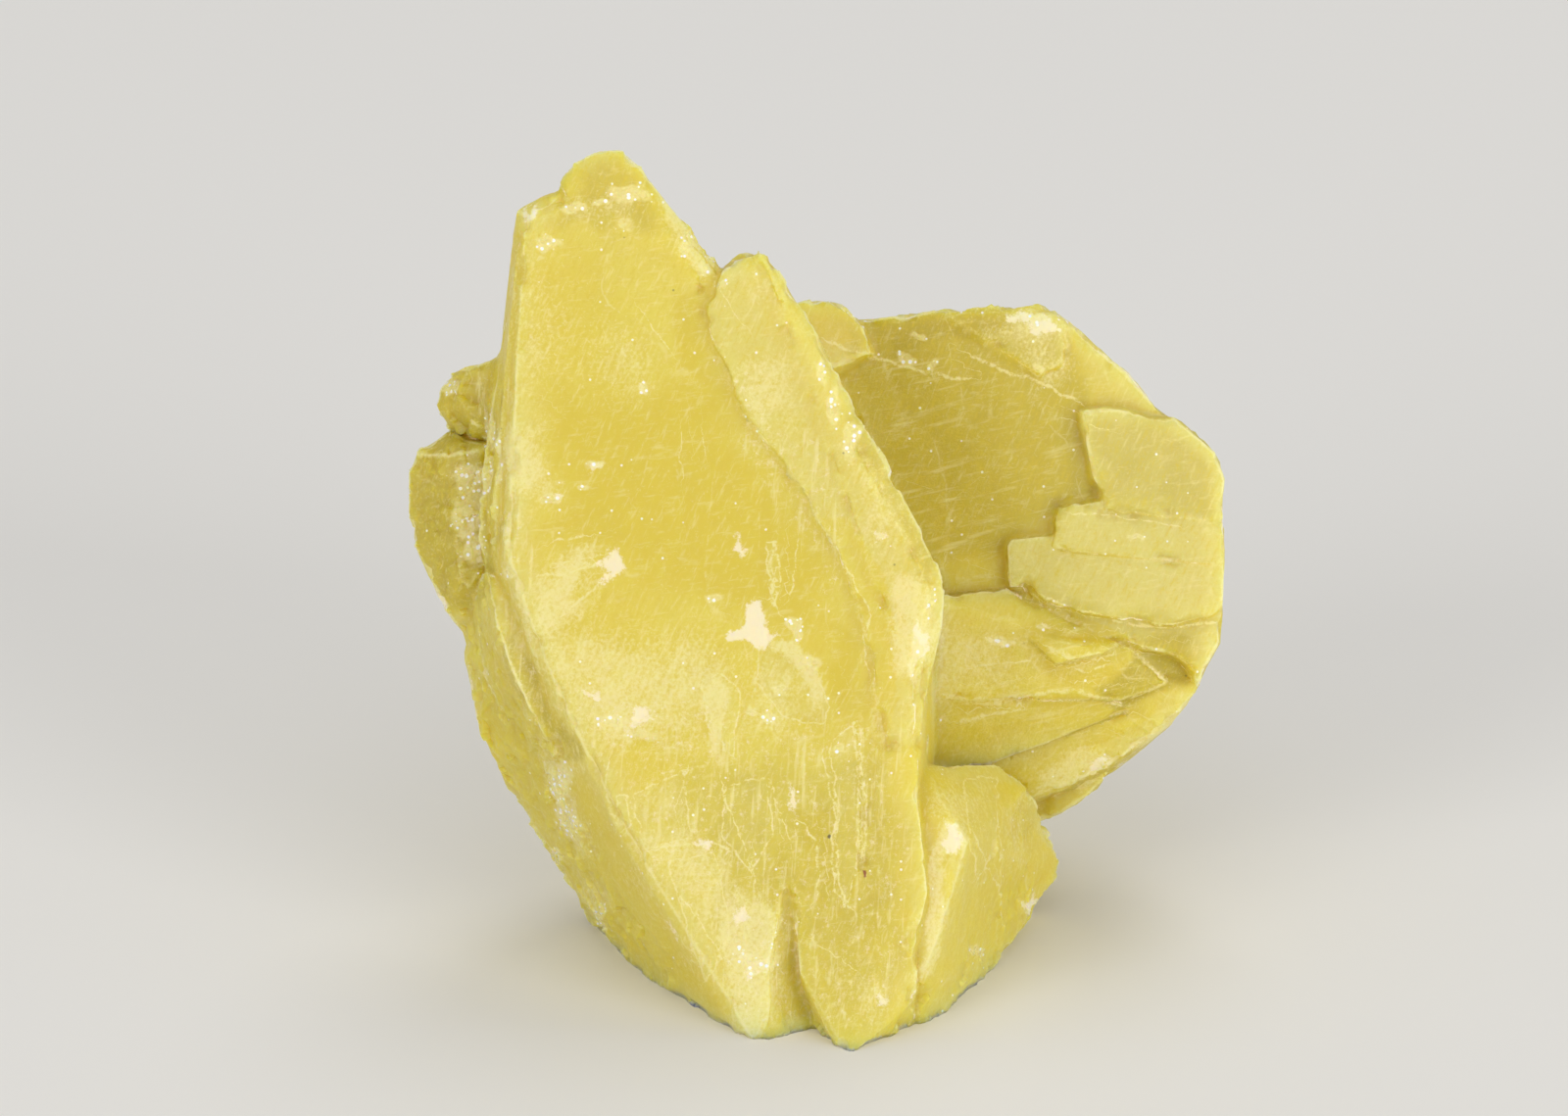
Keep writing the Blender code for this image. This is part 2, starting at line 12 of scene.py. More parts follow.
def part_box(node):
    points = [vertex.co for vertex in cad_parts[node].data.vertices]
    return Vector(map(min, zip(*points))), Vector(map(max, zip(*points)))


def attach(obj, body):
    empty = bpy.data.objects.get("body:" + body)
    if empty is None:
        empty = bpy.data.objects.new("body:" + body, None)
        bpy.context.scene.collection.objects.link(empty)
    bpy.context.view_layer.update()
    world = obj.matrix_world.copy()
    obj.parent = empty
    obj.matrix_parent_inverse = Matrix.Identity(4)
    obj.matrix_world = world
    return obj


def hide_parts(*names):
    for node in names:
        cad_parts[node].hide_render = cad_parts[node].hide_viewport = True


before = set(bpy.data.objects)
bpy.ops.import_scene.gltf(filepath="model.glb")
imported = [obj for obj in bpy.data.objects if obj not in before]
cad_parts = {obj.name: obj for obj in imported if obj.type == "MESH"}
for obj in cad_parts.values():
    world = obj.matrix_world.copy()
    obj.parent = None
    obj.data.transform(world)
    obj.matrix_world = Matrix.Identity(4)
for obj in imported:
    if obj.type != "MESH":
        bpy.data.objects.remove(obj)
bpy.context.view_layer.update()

# The crystals are worked on in the plane of the big front face, which leans back:
# u runs right, v up that face and w back into the cluster, all in millimetres.
mm = 0.001
lean = math.radians(22.0)
frontTip = -0.076  # where the front tip of the break lies, mm
lowCorner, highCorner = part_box("sulfur_crystal")
leanCos, leanSin = math.cos(lean), math.sin(lean)


def toDrawing(points):
    # world metres to columns u, w, v
    x, y, z = (np.asarray(points, float) / mm).T
    y = y - lowCorner.y / mm + frontTip
    return np.stack((x, y * leanCos - z * leanSin, y * leanSin + z * leanCos), axis=1)


def toWorld(points):
    # and back again
    u, w, v = points.T
    y = w * leanCos + v * leanSin
    z = v * leanCos - w * leanSin
    return np.stack((u, y + lowCorner.y / mm - frontTip, z), axis=1) * mm


def cellRandom(cells, seed):
    # a steady random number from 0 to 1 for each whole-number cell
    x, y, z = (cells[:, i].astype(np.uint64) for i in range(3))
    mixed = x * np.uint64(73856093) ^ y * np.uint64(19349663) ^ z * np.uint64(83492791)
    mixed ^= np.uint64(seed * 2654435761 % 2**32)
    for shift in (13, 7):
        mixed = (mixed ^ (mixed >> np.uint64(shift))) * np.uint64(0x9E3779B97F4A7C15)
    return (mixed >> np.uint64(40)).astype(float) / 2**24


def softNoise(points, size, seed):
    # smooth noise from -1 to 1 with features about size millimetres across
    grid = points / size + 4096.0
    cell = np.floor(grid)
    part = grid - cell
    part = part * part * (3 - 2 * part)
    total = np.zeros(len(points))
    for corner in np.ndindex(2, 2, 2):
        share = np.prod(np.where(corner, part, 1 - part), axis=1)
        total += share * cellRandom(cell + corner, seed)
    return total * 2 - 1


def cloudNoise(points, size, seed, octaves=3):
    # soft noise with finer noise added, from -1 to 1
    total = np.zeros(len(points))
    for octave in range(octaves):
        total += softNoise(points, size / 2**octave, seed + octave) / 2**octave
    return total / (2 - 2 / 2**octaves)


def brokenPlanes(points, size, seed):
    # tilted flats from -1 to 1, one in each random cell, as in a sugary fracture
    grid = points / size + 4096.0
    home = np.floor(grid)
    nearest = np.full(len(points), 1e9)
    height = np.zeros(len(points))
    for offset in np.ndindex(3, 3, 3):
        cell = home + offset - 1
        middle = cell + np.stack([cellRandom(cell, seed + i) for i in range(3)], axis=1)
        tilt = np.stack([cellRandom(cell, seed + 3 + i) for i in range(3)], axis=1) * 2 - 1
        away = grid - middle
        distance = np.sum(away * away, axis=1)
        closer = distance < nearest
        nearest = np.where(closer, distance, nearest)
        height = np.where(closer, np.sum(away * tilt, axis=1), height)
    return height


def ramp(values, start, end):
    # 0 before start, 1 past end and smooth between them
    share = np.clip((values - start) / (end - start), 0, 1)
    return share * share * (3 - 2 * share)


# what shows on the front, as u and v in millimetres
frontMarks = {
    # three ways that borders wander: how far and how finely in mm, and the seed
    "soft": (1.6, 2.2, 11),
    "ragged": (0.5, 0.7, 21),
    "tight": (0.22, 0.6, 31),
    # bruises crushed to cream-white powder, as outlines
    "bruises": [
        [(-10.9, 25.2), (-10.1, 25.5), (-9.95, 24.5), (-10.4, 23.8), (-11.1, 23.6), (-10.75, 24.2),
         (-11.3, 24.6), (-10.8, 24.9)],
        [(-3.4, 22.8), (-2.8, 22.7), (-2.7, 21.9), (-2.4, 21.2), (-1.9, 21), (-2.7, 20.5), (-3.2, 20.5),
         (-3.8, 20.8), (-4.7, 20.9), (-4.4, 21.4), (-3.7, 21.9)],
        [(6.5, 11.5), (7.2, 11.3), (7.5, 10.6), (6.9, 9.8), (6.5, 9.9)],
        [(9.8, 37.6), (11.5, 37.3), (12.4, 36.6), (11.9, 36.3), (10.9, 36.8), (9.9, 37.2)],
        [(4.9, 21.9), (5.6, 21), (5.2, 19.6), (4.8, 18.8), (4.7, 20.2)],
        [(2.8, 26.3), (3.4, 26.3), (3.5, 25.9), (2.9, 25.8)],
        [(-4.4, 7), (-3.6, 7.2), (-3.3, 6.6), (-4.1, 6.2)],
        [(-4, 4.9), (-3.2, 4.5), (-2.3, 4.9), (-2, 4.4), (-2.5, 3.9), (-3.6, 3.9)],
        [(10.5, 7.3), (11.3, 7.7), (11.3, 7.1), (10.7, 6.7)],
        [(2.9, 2.9), (3.6, 2.8), (3.4, 2.3), (3, 2.3)],
        [(-11.8, 18.3), (-11, 18.2), (-11, 17.9), (-11.7, 17.9)],
        [(-9.2, 17.3), (-8.4, 17.3), (-8.3, 16.7), (-9.3, 16.3)],
        [(-1.5, 13.5), (-1.1, 13.2), (-0.95, 12.2), (-1.4, 12.4)],
        [(14, 14.5), (15.1, 14.7), (14.9, 14.2), (14, 14.1)],
        [(8.7, 20.9), (9.4, 20.9), (10.1, 20.75), (9.4, 20.6)],
        [(11.6, 21.8), (12, 21.75), (12.4, 21.5), (11.9, 21.4)],
        [(-15, 42.8), (-14.5, 43), (-14.3, 42.3), (-14.9, 42.2)],
        [(-4.2, 26.1), (-3.9, 26.1), (-3.8, 25.4), (-3.3, 25.3), (-3.8, 25), (-4.4, 25.4)],
        [(-11.7, 29.9), (-11, 29.8), (-10.9, 29.4), (-11.7, 29.4)],
        [(-6.2, 10.4), (-5.5, 10.5), (-5.5, 10.2), (-6.2, 10.2)],
        [(-13, 28), (-13.4, 28.2), (-13.7, 27.9), (-13.2, 27.7)],
        [(-9.1, 33.8), (-8.7, 33.7), (-8.8, 33.4), (-9.1, 33.4)],
        [(-7.7, 6.8), (-7.4, 6.4), (-7.1, 5.9), (-7.4, 6)],
    ],
    # frosted and scratched skin: outline, strength, how soft its border is
    "frost": [
        ([(-15.3, 41), (-13.6, 40.6), (-12.6, 37), (-12.8, 33.6), (-15.2, 33)], 0.35, 1.4),
        ([(-11.8, 36.2), (-9.4, 36.5), (-8.4, 34.6), (-9, 32.9), (-11.2, 33.6)], 0.4, 1.1),
        ([(-15.4, 32.2), (-13.7, 31.8), (-13.9, 28.4), (-15.2, 27.2)], 0.75, 0.6),
        ([(-11, 25.3), (-13.3, 24.9), (-14.8, 22.3), (-13.4, 20.6), (-11.2, 23.7)], 0.75, 0.8),
        ([(-14.6, 21.8), (-8.6, 21), (-4.2, 20.4), (-4.4, 17.2), (-7.6, 15.4), (-12.4, 16.4)],
         0.6, 1.4),
        ([(-12.6, 18.6), (-10.4, 18.2), (-7.8, 17.2), (-7.6, 15.6), (-10.8, 15.9), (-12.3, 17)],
         0.65, 0.7),
        ([(-5.9, 18.7), (-4.9, 19.1), (-4, 18.4), (-4, 17), (-4.3, 14.8), (-5.6, 16.6)], 0.75, 0.25),
        ([(-2.8, 20.9), (-0.9, 20.6), (0.2, 19.2), (0.7, 17.6), (0.4, 16.4), (-0.3, 17.4), (-1.2, 19),
          (-2.9, 19.7)], 0.8, 0.35),
        ([(-3.6, 19), (-1.4, 18.8), (-0.2, 17.2), (-1, 15.6), (-3.2, 16.2)], 0.45, 0.6),
        ([(-8.6, 10.4), (-5.4, 10.7), (-4.6, 9), (-4.9, 6), (-6.6, 6.2), (-7.6, 9.4)], 0.5, 0.6),
        ([(-4.6, 8), (-2.4, 7.6), (-1.9, 3.4), (-2.2, 0.6), (-4.4, 1.6), (-4.8, 5)], 0.75, 0.5),
        ([(-9.6, 12.6), (-7, 13.6), (-5.2, 11.8), (-7.4, 11.2)], 0.4, 0.8),
        ([(-4.4, 34.6), (-1.6, 34.4), (-1, 32.4), (-3, 31.6), (-4.2, 33.2)], 0.6, 0.8),
        ([(1.2, 30.8), (3.9, 28.4), (5, 25.8), (3.4, 24.8), (1.6, 27.8)], 0.45, 0.9),
        ([(4.2, 24.6), (6.3, 24.4), (6.2, 21.6), (5.2, 18.4), (4, 18.6), (4.2, 21.6)], 0.75, 0.5),
        ([(-3.4, 40.2), (-1.2, 38.8), (-0.9, 36.8), (-3.6, 37.6)], 0.3, 0.8),
        ([(8.6, 37.6), (12.8, 37), (13.2, 35.4), (11.2, 34.2), (9.2, 35.8)], 0.5, 0.5),
        ([(10.6, 35), (13.4, 34.4), (13, 33.6), (10.4, 34.2)], 0.55, 0.4),
        ([(5.6, 22.6), (9.4, 21.4), (9.6, 18.2), (6.2, 18.2), (5.2, 20.4)], 0.5, 0.9),
        ([(11.2, 14.4), (15.4, 14.9), (14.4, 13.5), (11.6, 13.4)], 0.7, 0.3),
        ([(6.2, 14), (8.4, 13), (7.8, 10.6), (6.2, 10.4)], 0.5, 0.6),
        ([(6.1, 11.7), (7.3, 11.35), (7.6, 10.5), (6.95, 9.2), (6.6, 7.2), (6.1, 5.4), (5.3, 3.2),
          (5, 3.7), (5.5, 7.2), (5.9, 10.5)], 0.65, 0.15),
        ([(8.8, 12.6), (10.6, 13.4), (11.8, 9.6), (10.2, 8.8)], 0.35, 0.8),
        ([(-18.8, 29.6), (-17, 29.4), (-17.2, 28.4), (-18.6, 28.4)], 0.7, 0.4),
        ([(-16.9, 31.4), (-15.9, 31.6), (-16, 28.2), (-16.8, 28.6)], 0.85, 0.3),
        ([(-14.2, 15.2), (-12.2, 14.6), (-11.4, 9.8), (-12.6, 9.4)], 0.55, 0.6),
        ([(-12.4, 9), (-10.6, 8), (-10.8, 5.6), (-11.8, 6.4)], 0.5, 0.5),
        ([(1.4, 4.2), (4.4, 3.4), (3.2, 1.8), (1.6, 1.6)], 0.4, 0.7),
        ([(-8, 43.6), (-6.4, 42), (-5, 39.2), (-6.2, 39.6), (-7.8, 42)], 0.7, 0.3),
        ([(-13, 43.2), (-9, 43.4), (-9.6, 41.6), (-12.8, 42)], 0.4, 0.6),
    ],
    # where the yellow is deepest: outline, strength, how soft its border is
    "deep": [
        ([(-13.2, 33.4), (-5.8, 34.2), (-1.6, 28.2), (0.7, 24.8), (0.6, 21.2), (-3.4, 22.6), (-9, 24),
          (-13, 26.4)], 0.9, 1.6),
        ([(-7.4, 38.6), (-5.4, 38.6), (-5.3, 35.4), (-3.4, 31.8), (-5.4, 32.4), (-7.6, 35)], 0.8, 0.7),
        ([(1.2, 22), (2.3, 20.4), (2.9, 17.2), (1.2, 16.6), (0.8, 18.6)], 1, 0.35),
        ([(-2.5, 9.6), (-1.2, 9), (-0.9, 6.4), (-1, 4.2), (0, 1), (-1.6, 0.6), (-1.9, 4.4)], 1, 0.35),
        ([(-1.2, 11.8), (0.5, 12), (0.6, 7.4), (0, 7.2), (-0.6, 9.4)], 0.75, 0.35),
        ([(-16.6, 23.4), (-15, 20.6), (-12.2, 15.6), (-13.2, 14.4), (-16, 19.4)], 0.9, 0.6),
        ([(-12, 13.4), (-9.8, 9.6), (-10.6, 9), (-12.6, 12.6)], 0.55, 0.5),
        ([(2, 37.6), (10.6, 36.4), (13.6, 33.2), (13, 28), (9.4, 24.6), (6.4, 24.4), (3.4, 30.4)],
         0.9, 0.8),
        ([(11, 20.2), (17.6, 20), (18.8, 18.8), (15.2, 17.6), (12.2, 18.6)], 0.6, 0.5),
        ([(7.4, 16.9), (15, 17.4), (17.2, 16.2), (11.4, 14.9), (8.2, 15.4)], 0.4, 0.4),
        ([(-14, 43), (-10.6, 43.2), (-10.4, 41.8), (-13.8, 41.8)], 0.5, 0.6),
        # painted shade: a dark line along a crease in the wing
        ([(10.8, 20.9), (11.9, 20.3), (12.7, 19.3), (12.4, 19.2), (11.6, 19.9), (10.7, 20.6)], 1, 0.15),
    ],
    # broken, uneven skin: outline, strength, how soft its border is
    "broken": [
        ([(-19, 24), (-16.8, 23), (-13.4, 14.5), (-10.8, 9.4), (-5.6, 1.2), (-7, -2), (-19, 8)],
         1, 0.3),
        ([(-22, 36), (-16.6, 36), (-16.2, 30), (-17.2, 22), (-22, 22)], 0.8, 0.3),
        ([(5, 3), (6.4, 3.4), (8.4, 5.8), (11, 9.4), (13.6, 9), (10, 0), (5, 0)], 0.8, 0.5),
        ([(10, 12.6), (15, 15), (19.6, 19.8), (21.6, 18), (15, 11), (10, 10.6)], 0.6, 0.4),
        ([(-5, 1.6), (-2.4, 1.4), (1.6, 0.8), (5, 1.8), (5, -2), (-6, -2)], 0.6, 0.4),
    ],
    # painted shade where the crystal is set back or turned from the lamps, and a deeper tone where it
    # is thick and clear: outline, strength, softness
    "shadedAndThick": [
        ([(0.4, 38.6), (6.4, 38.2), (11.6, 37), (14.2, 34), (13.6, 28.2), (11.8, 26.4), (9.4, 25),
          (5.8, 24), (2, 30)], 0.55, 0.7),
        ([(0.8, 38.8), (9.6, 38.6), (10.4, 36.6), (4, 35.2)], 1, 0.5),
        ([(9.6, 23.6), (16, 21.6), (20, 22), (19.6, 19), (16, 20), (11, 21)], 0.45, 0.5),
        ([(-0.8, 6.4), (4.6, 7.4), (5, 2.6), (1.6, 0), (0, 2.4)], 0.4, 0.6),
        ([(-12.6, 44.8), (-9.8, 45.6), (-7, 41), (-12.8, 42)], 0.6, 0.8),
        ([(13.8, 32.4), (18.2, 32.2), (20.8, 29), (20.6, 26.8), (14.6, 27.6)], 0.45, 0.5),
        ([(-22, 36), (-16.2, 36), (-15.8, 31), (-16.8, 26), (-17.2, 22), (-22, 22)], 0.85, 0.5),
        ([(-18.6, 23), (-15.9, 22), (-12.8, 13.6), (-10.8, 9.6), (-6.6, 2), (-7.4, 0), (-15, 8)],
         0.35, 0.9),
        ([(10.2, 12.6), (15, 14.4), (16, 13), (10, 10.6)], 0.35, 0.5),
        ([(14, 18.9), (16, 19.9), (19.2, 20.4), (19.4, 18.2), (16, 17.2), (14.2, 17.9)], 1, 0.4),
        ([(-7, 15), (3.6, 15), (5.2, 4), (0.4, 0), (-4, 2)], 0.45, 1),
        ([(-15.8, 22.6), (-15, 21.6), (-12.4, 15.2), (-13, 14.6), (-15.4, 19.4)], 0.7, 0.3),
    ],
    # thin plates that let the light through and look paler: outline, strength
    "plates": [
        ([(13.5, 32.5), (14.8, 32.6), (18.3, 32.3), (21.2, 29), (21.2, 22.2), (19.8, 18.4),
          (18.8, 19.8), (16.4, 20.8), (13.3, 22.2), (11.8, 22.7), (10.6, 23.5), (9.8, 23.5),
          (9.8, 25.8), (12, 26.1), (12.2, 27.8), (14.5, 28.1), (14.3, 28.6), (14, 30)], 1),
        ([(-4.9, 39.5), (-5.7, 37.5), (-5.3, 35.9), (-4.4, 34.4), (-4.2, 33.3), (-3.2, 31.7),
          (-2, 30.2), (-0.9, 28.6), (-0.1, 27), (1.6, 27), (3.4, 24), (4.2, 20.6), (3.6, 15.4),
          (5.4, 15.6), (6.8, 21.4), (6.8, 24), (2.2, 32.3), (-3, 41)], 0.55),
        ([(7.8, 37.4), (11.7, 37.8), (13.2, 36.9), (12.9, 35.2), (11.6, 34.5), (9.2, 36)], 0.7),
    ],
    # cracks and thin layer edges that show as pale lines: path, half width, height
    "threads": [
        ([(-2.2, 25.8), (-2.35, 24.8), (-2.33, 23.7), (-2.28, 22.8), (-2.06, 22.4)], 0.07, 0.05),
        ([(-1.05, 25.8), (-1.15, 24.8), (-1.15, 23.9), (-1.4, 23)], 0.05, 0.03),
        ([(1.5, 24.4), (2.1, 23.2), (2.7, 22.1), (2.3, 20), (2.6, 18.9)], 0.05, 0.03),
        ([(0.55, 36.1), (2.8, 35.3), (5.2, 34.6), (7.6, 34.15)], 0.10, 0.03),
        ([(8.05, 35.3), (9.4, 34.6), (11.2, 34.1), (13.45, 32.95)], 0.10, 0.03),
        ([(10.9, 23.3), (12.7, 22.45), (15.5, 21.7), (17.8, 21.4), (20.2, 21.65)], 0.10, 0.06),
        ([(12.05, 20.25), (12.55, 20), (13.2, 19.8), (13.8, 20), (14.8, 20.05)], 0.18, 0.06),
        ([(13.2, 19.2), (13.8, 19.15), (14.7, 19.4)], 0.07, 0.03),
        ([(15.05, 20.8), (16.05, 20.3), (17.3, 20.2), (18.55, 19.95), (19.05, 19.2)], 0.04, 0),
        ([(6.7, 17.95), (7.9, 17.6), (9.2, 17.65), (11.8, 18), (12.8, 18.2), (13.55, 18.1),
          (14.8, 17.7), (15.8, 17.3)], 0.14, 0.05),
        ([(7.4, 16.6), (8.55, 16.85), (10.2, 17.15)], 0.12, 0.05),
        ([(7.7, 19.25), (9.05, 19.6), (10.8, 19.7)], 0.05, 0.02),
        ([(11.4, 13.1), (12.4, 13.3), (15.2, 14.5)], 0.14, 0.05),
        ([(-8.6, 10.1), (-7, 10.35), (-5.4, 10.5), (-4.6, 10.3)], 0.08, 0.03),
        ([(-11.1, 25.1), (-12.4, 24.8), (-13.1, 24.7)], 0.06, 0),
        ([(-11.3, 24.6), (-12.6, 24.2), (-14, 24)], 0.07, 0),
        ([(-13.35, 25.8), (-11.8, 26.15)], 0.05, 0),
        ([(-11, 23.7), (-12.2, 22.7), (-13.4, 21.8)], 0.08, 0),
        ([(7.9, 11), (8.6, 9.2), (9.3, 7.9)], 0.05, 0.03),
        ([(9.25, 11), (9.3, 7.6), (9.5, 6.2)], 0.04, 0.02),
        ([(-0.3, 5.6), (1.97, 4)], 0.04, 0.02),
        ([(2.17, 16.4), (2.24, 14.4), (2.44, 12.9), (2.3, 9.7)], 0.06, 0.04),
        ([(0.23, 15.1), (0.7, 12.9), (0.9, 11.7), (0.75, 9.7), (0.9, 8.1), (1.7, 7.25)], 0.06, 0.04),
        ([(-0.85, 11.5), (-0.05, 10.5), (0.15, 9), (-0.1, 7.9)], 0.06, 0.04),
        ([(-2.3, 13.6), (-2, 12.2), (-1.4, 10.6)], 0.04, 0.02),
        ([(-4.9, 13.9), (-4.5, 12.2), (-3.6, 10), (-3.2, 8.6)], 0.04, 0.02),
        ([(-7.2, 8.2), (-5.4, 5.6), (-4.3, 4.2)], 0.04, 0.02),
        ([(-8.8, 37.4), (-7.4, 35.5)], 0.04, 0),
        ([(-5.1, 38.9), (-4.2, 37.2), (-3.6, 36.6)], 0.04, 0.02),
        ([(-6.95, 31.3), (-6.98, 30.4), (-6.9, 29.2)], 0.04, 0),
        ([(-5.8, 31.4), (-5.75, 30.6)], 0.04, 0),
        ([(13.2, 27.3), (15.8, 27.1), (18.6, 26.6)], 0.05, 0.03),
        ([(12.6, 32.2), (14.9, 31.6)], 0.03, 0),
        ([(-15.9, 26.6), (-15.5, 24.4), (-14.9, 22), (-14.2, 19.4)], 0.12, 0.03),
        ([(-6.6, 14.2), (-7.2, 12.4), (-7, 11.4)], 0.04, 0.02),
        ([(-10.6, 14.6), (-10.8, 13), (-10.2, 11.2)], 0.05, 0.02),
    ],
    # shallow flakes lost or left: outline, height (below 0 for a scar)
    "flakes": [
        ([(-5.9, 18.7), (-4.9, 19.1), (-4, 18.4), (-4, 17), (-4.3, 14.8), (-5.6, 16.6)], 0.08),
        ([(-2.8, 20.5), (-0.9, 20.1), (0.1, 19), (0.5, 17.6), (0.3, 16.5), (-1.6, 16.8), (-3.2, 18.8)],
         -0.08),
        ([(-4.6, 13.4), (-2.6, 13.8), (-2.2, 11), (-3.4, 9), (-4.8, 10.8)], 0.05),
        ([(-9.4, 13), (-6.8, 14.2), (-6.4, 10.8), (-8.8, 10.2)], -0.05),
        ([(-10.1, 12.9), (-9.7, 12.9), (-9.5, 11.6), (-9.7, 11.2), (-10.1, 11.9)], 0.04),
        ([(-2.6, 25.8), (-2.1, 25.9), (-1.9, 24), (-2.1, 22.5), (-2.5, 23.6)], 0.04),
        ([(-7.6, 9.6), (-5.2, 9.9), (-4.4, 6), (-5.6, 3.4), (-6.6, 6)], 0.05),
        ([(0.6, 15.6), (1.9, 16.6), (2.1, 13.4), (2, 9), (1.5, 7.4), (1, 9), (1, 12.8)], 0.04),
        ([(7.4, 13.6), (9.2, 13.8), (9, 10.2), (8.2, 8.6), (7.7, 10.6)], 0.05),
    ],
    # sugary fractures that glint: middle u, v, half width, half height
    "crusts": [
        (-17.6, 28.9, 1, 0.9), (-17.9, 27.2, 0.8, 1.3), (-17.4, 25.4, 0.7, 0.8),
        (-18.9, 33.9, 0.6, 0.6), (-13.2, 13.4, 0.6, 1.4), (-12.7, 11.6, 0.7, 1.1),
        (-11.2, 6.4, 0.4, 0.9), (-13.6, 41.1, 0.7, 0.4), (-13.9, 40.5, 0.3, 0.25),
        (-9.6, 43.5, 1.2, 0.6), (-12.4, 42.8, 0.6, 0.3), (-11, 43, 0.6, 0.25),
        (-9.8, 41.9, 0.5, 0.3), (-6.6, 41, 0.4, 0.8), (-5.6, 39.8, 0.4, 0.8),
        (-4.8, 38.9, 0.35, 0.35), (0.2, 34.4, 0.3, 0.9), (0.8, 32.6, 0.35, 1.1),
        (1.7, 30.8, 0.35, 1.1), (-11.4, 29.7, 0.6, 0.3), (-12, 28.7, 0.4, 0.3),
        (-13.7, 27.9, 0.6, 0.3), (-8.9, 33.6, 0.4, 0.3), (5.1, 36.4, 0.4, 0.25),
        (4.5, 35.2, 0.5, 0.25), (5.8, 34.9, 0.25, 0.2), (8.1, 4.9, 0.4, 0.3),
        (-3, 4.4, 1.2, 0.6), (-4, 5.4, 0.4, 0.5), (-2.1, 5, 0.3, 0.8),
        (-16.6, 31.2, 0.35, 1.2), (-16.4, 29.2, 0.4, 0.9), (4.9, 20, 0.4, 1.2),
        (5.8, 22.8, 0.25, 0.9), (-1.15, 21.3, 0.35, 0.7), (-5.3, 22.8, 0.5, 0.3),
        (-10.6, 16.7, 1, 0.35), (-8.9, 15.9, 0.8, 0.3), (-2.6, 16.9, 0.5, 0.4),
        (-1.9, 18.2, 0.5, 0.3), (11.3, 34.6, 0.5, 0.3), (-13.4, 9.6, 0.4, 0.7),
        (3.1, 26.1, 0.35, 0.3), (11.6, 21.6, 0.6, 0.25), (9.4, 20.8, 0.8, 0.25),
        (-3.3, 17, 0.4, 0.2), (1, 15.4, 0.25, 0.25), (-15.7, 24.1, 0.4, 0.4),
        (-0.5, 19.6, 0.6, 0.4), (11.2, 37.2, 0.5, 0.3), (16.4, 26.1, 0.5, 0.2),
    ],
    # where fine striae cross the back crystal's face, and where they run up the big face
    "across": [
        [(1, 36.6), (9.6, 34.4), (13.4, 31.6), (13.6, 28.2), (9.4, 24), (5.6, 24.4), (1.4, 33.6)],
        [(6, 23.4), (16, 20.6), (17, 16.6), (9.6, 14.4), (5.8, 15.6)],
    ],
    "along": [
        [(-14.6, 19), (-4, 17.6), (4.8, 16.6), (5.6, 4), (0.6, 0), (-4.6, 0.4), (-9.8, 9)],
        [(-17.2, 41), (-14.6, 41.6), (-14, 22), (-12, 14), (-14, 13), (-17.4, 22.6)],
        [(-6, 37), (-2.6, 34), (2.6, 26.4), (1.4, 21), (-4, 29.4)],
    ],
    # single specks: u, v, half width, half height
    "sootSpecks": [(-2.1, 11.4, 0.07, 0.06), (0.8, 10.8, 0.06, 0.09), (-6.4, 14.7, 0.06, 0.05),
                   (13.8, 30.1, 0.05, 0.07), (-14.7, 35.9, 0.06, 0.07), (10.7, 20.6, 0.04, 0.11),
                   (7.2, 18.1, 0.05, 0.07)],
    "rustSpecks": [(2.3, 8.95, 0.09, 0.26), (-4.55, 33.65, 0.11, 0.07)],
    # mm
    "bruiseDepth": 0.04,
    "flakeLine": 0.05,        # half width of the pale line round a flake
    "lineReach": 1.5,         # how much wider than its half width a line fades out
}


def insidePolygon(points, outline):
    inside = np.zeros(len(points), bool)
    for (x0, y0), (x1, y1) in zip(outline, np.roll(outline, -1, axis=0)):
        if y0 == y1:
            continue
        crosses = (y0 > points[:, 1]) != (y1 > points[:, 1])
        inside ^= crosses & (points[:, 0] < (x1 - x0) * (points[:, 1] - y0) / (y1 - y0) + x0)
    return inside


def pathOffset(points, path, closed=False):
    # distance of each 2-D point to a line of straight stretches, and the side it lies on
    path = np.asarray(path, float)
    ends = np.roll(path, -1, axis=0) if closed else path[1:]
    nearest = np.full(len(points), 1e9)
    side = np.ones(len(points))
    for start, end in zip(path, ends):
        along = end - start
        away = points - start
        share = np.clip(away @ along / max(along @ along, 1e-12), 0, 1)
        gap = away - share[:, None] * along
        distance = np.sum(gap * gap, axis=1)
        closer = distance < nearest
        nearest = np.where(closer, distance, nearest)
        turn = along[0] * away[:, 1] - along[1] * away[:, 0]
        side = np.where(closer, np.where(turn < 0, -1.0, 1.0), side)
    return np.sqrt(nearest), side


def outlineDepth(where, outline):
    # distance inside an outline, below 0 outside it
    border = pathOffset(where, outline, closed=True)[0]
    return np.where(insidePolygon(where, np.asarray(outline)), border, -border)


def blobShare(where, middleU, middleV, halfWidth, halfHeight):
    # 1 in the middle of a blob and 0 past its rim
    away = np.hypot((where[:, 0] - middleU) / halfWidth, (where[:, 1] - middleV) / halfHeight)
    return 1 - ramp(away, 0.45, 1.35)


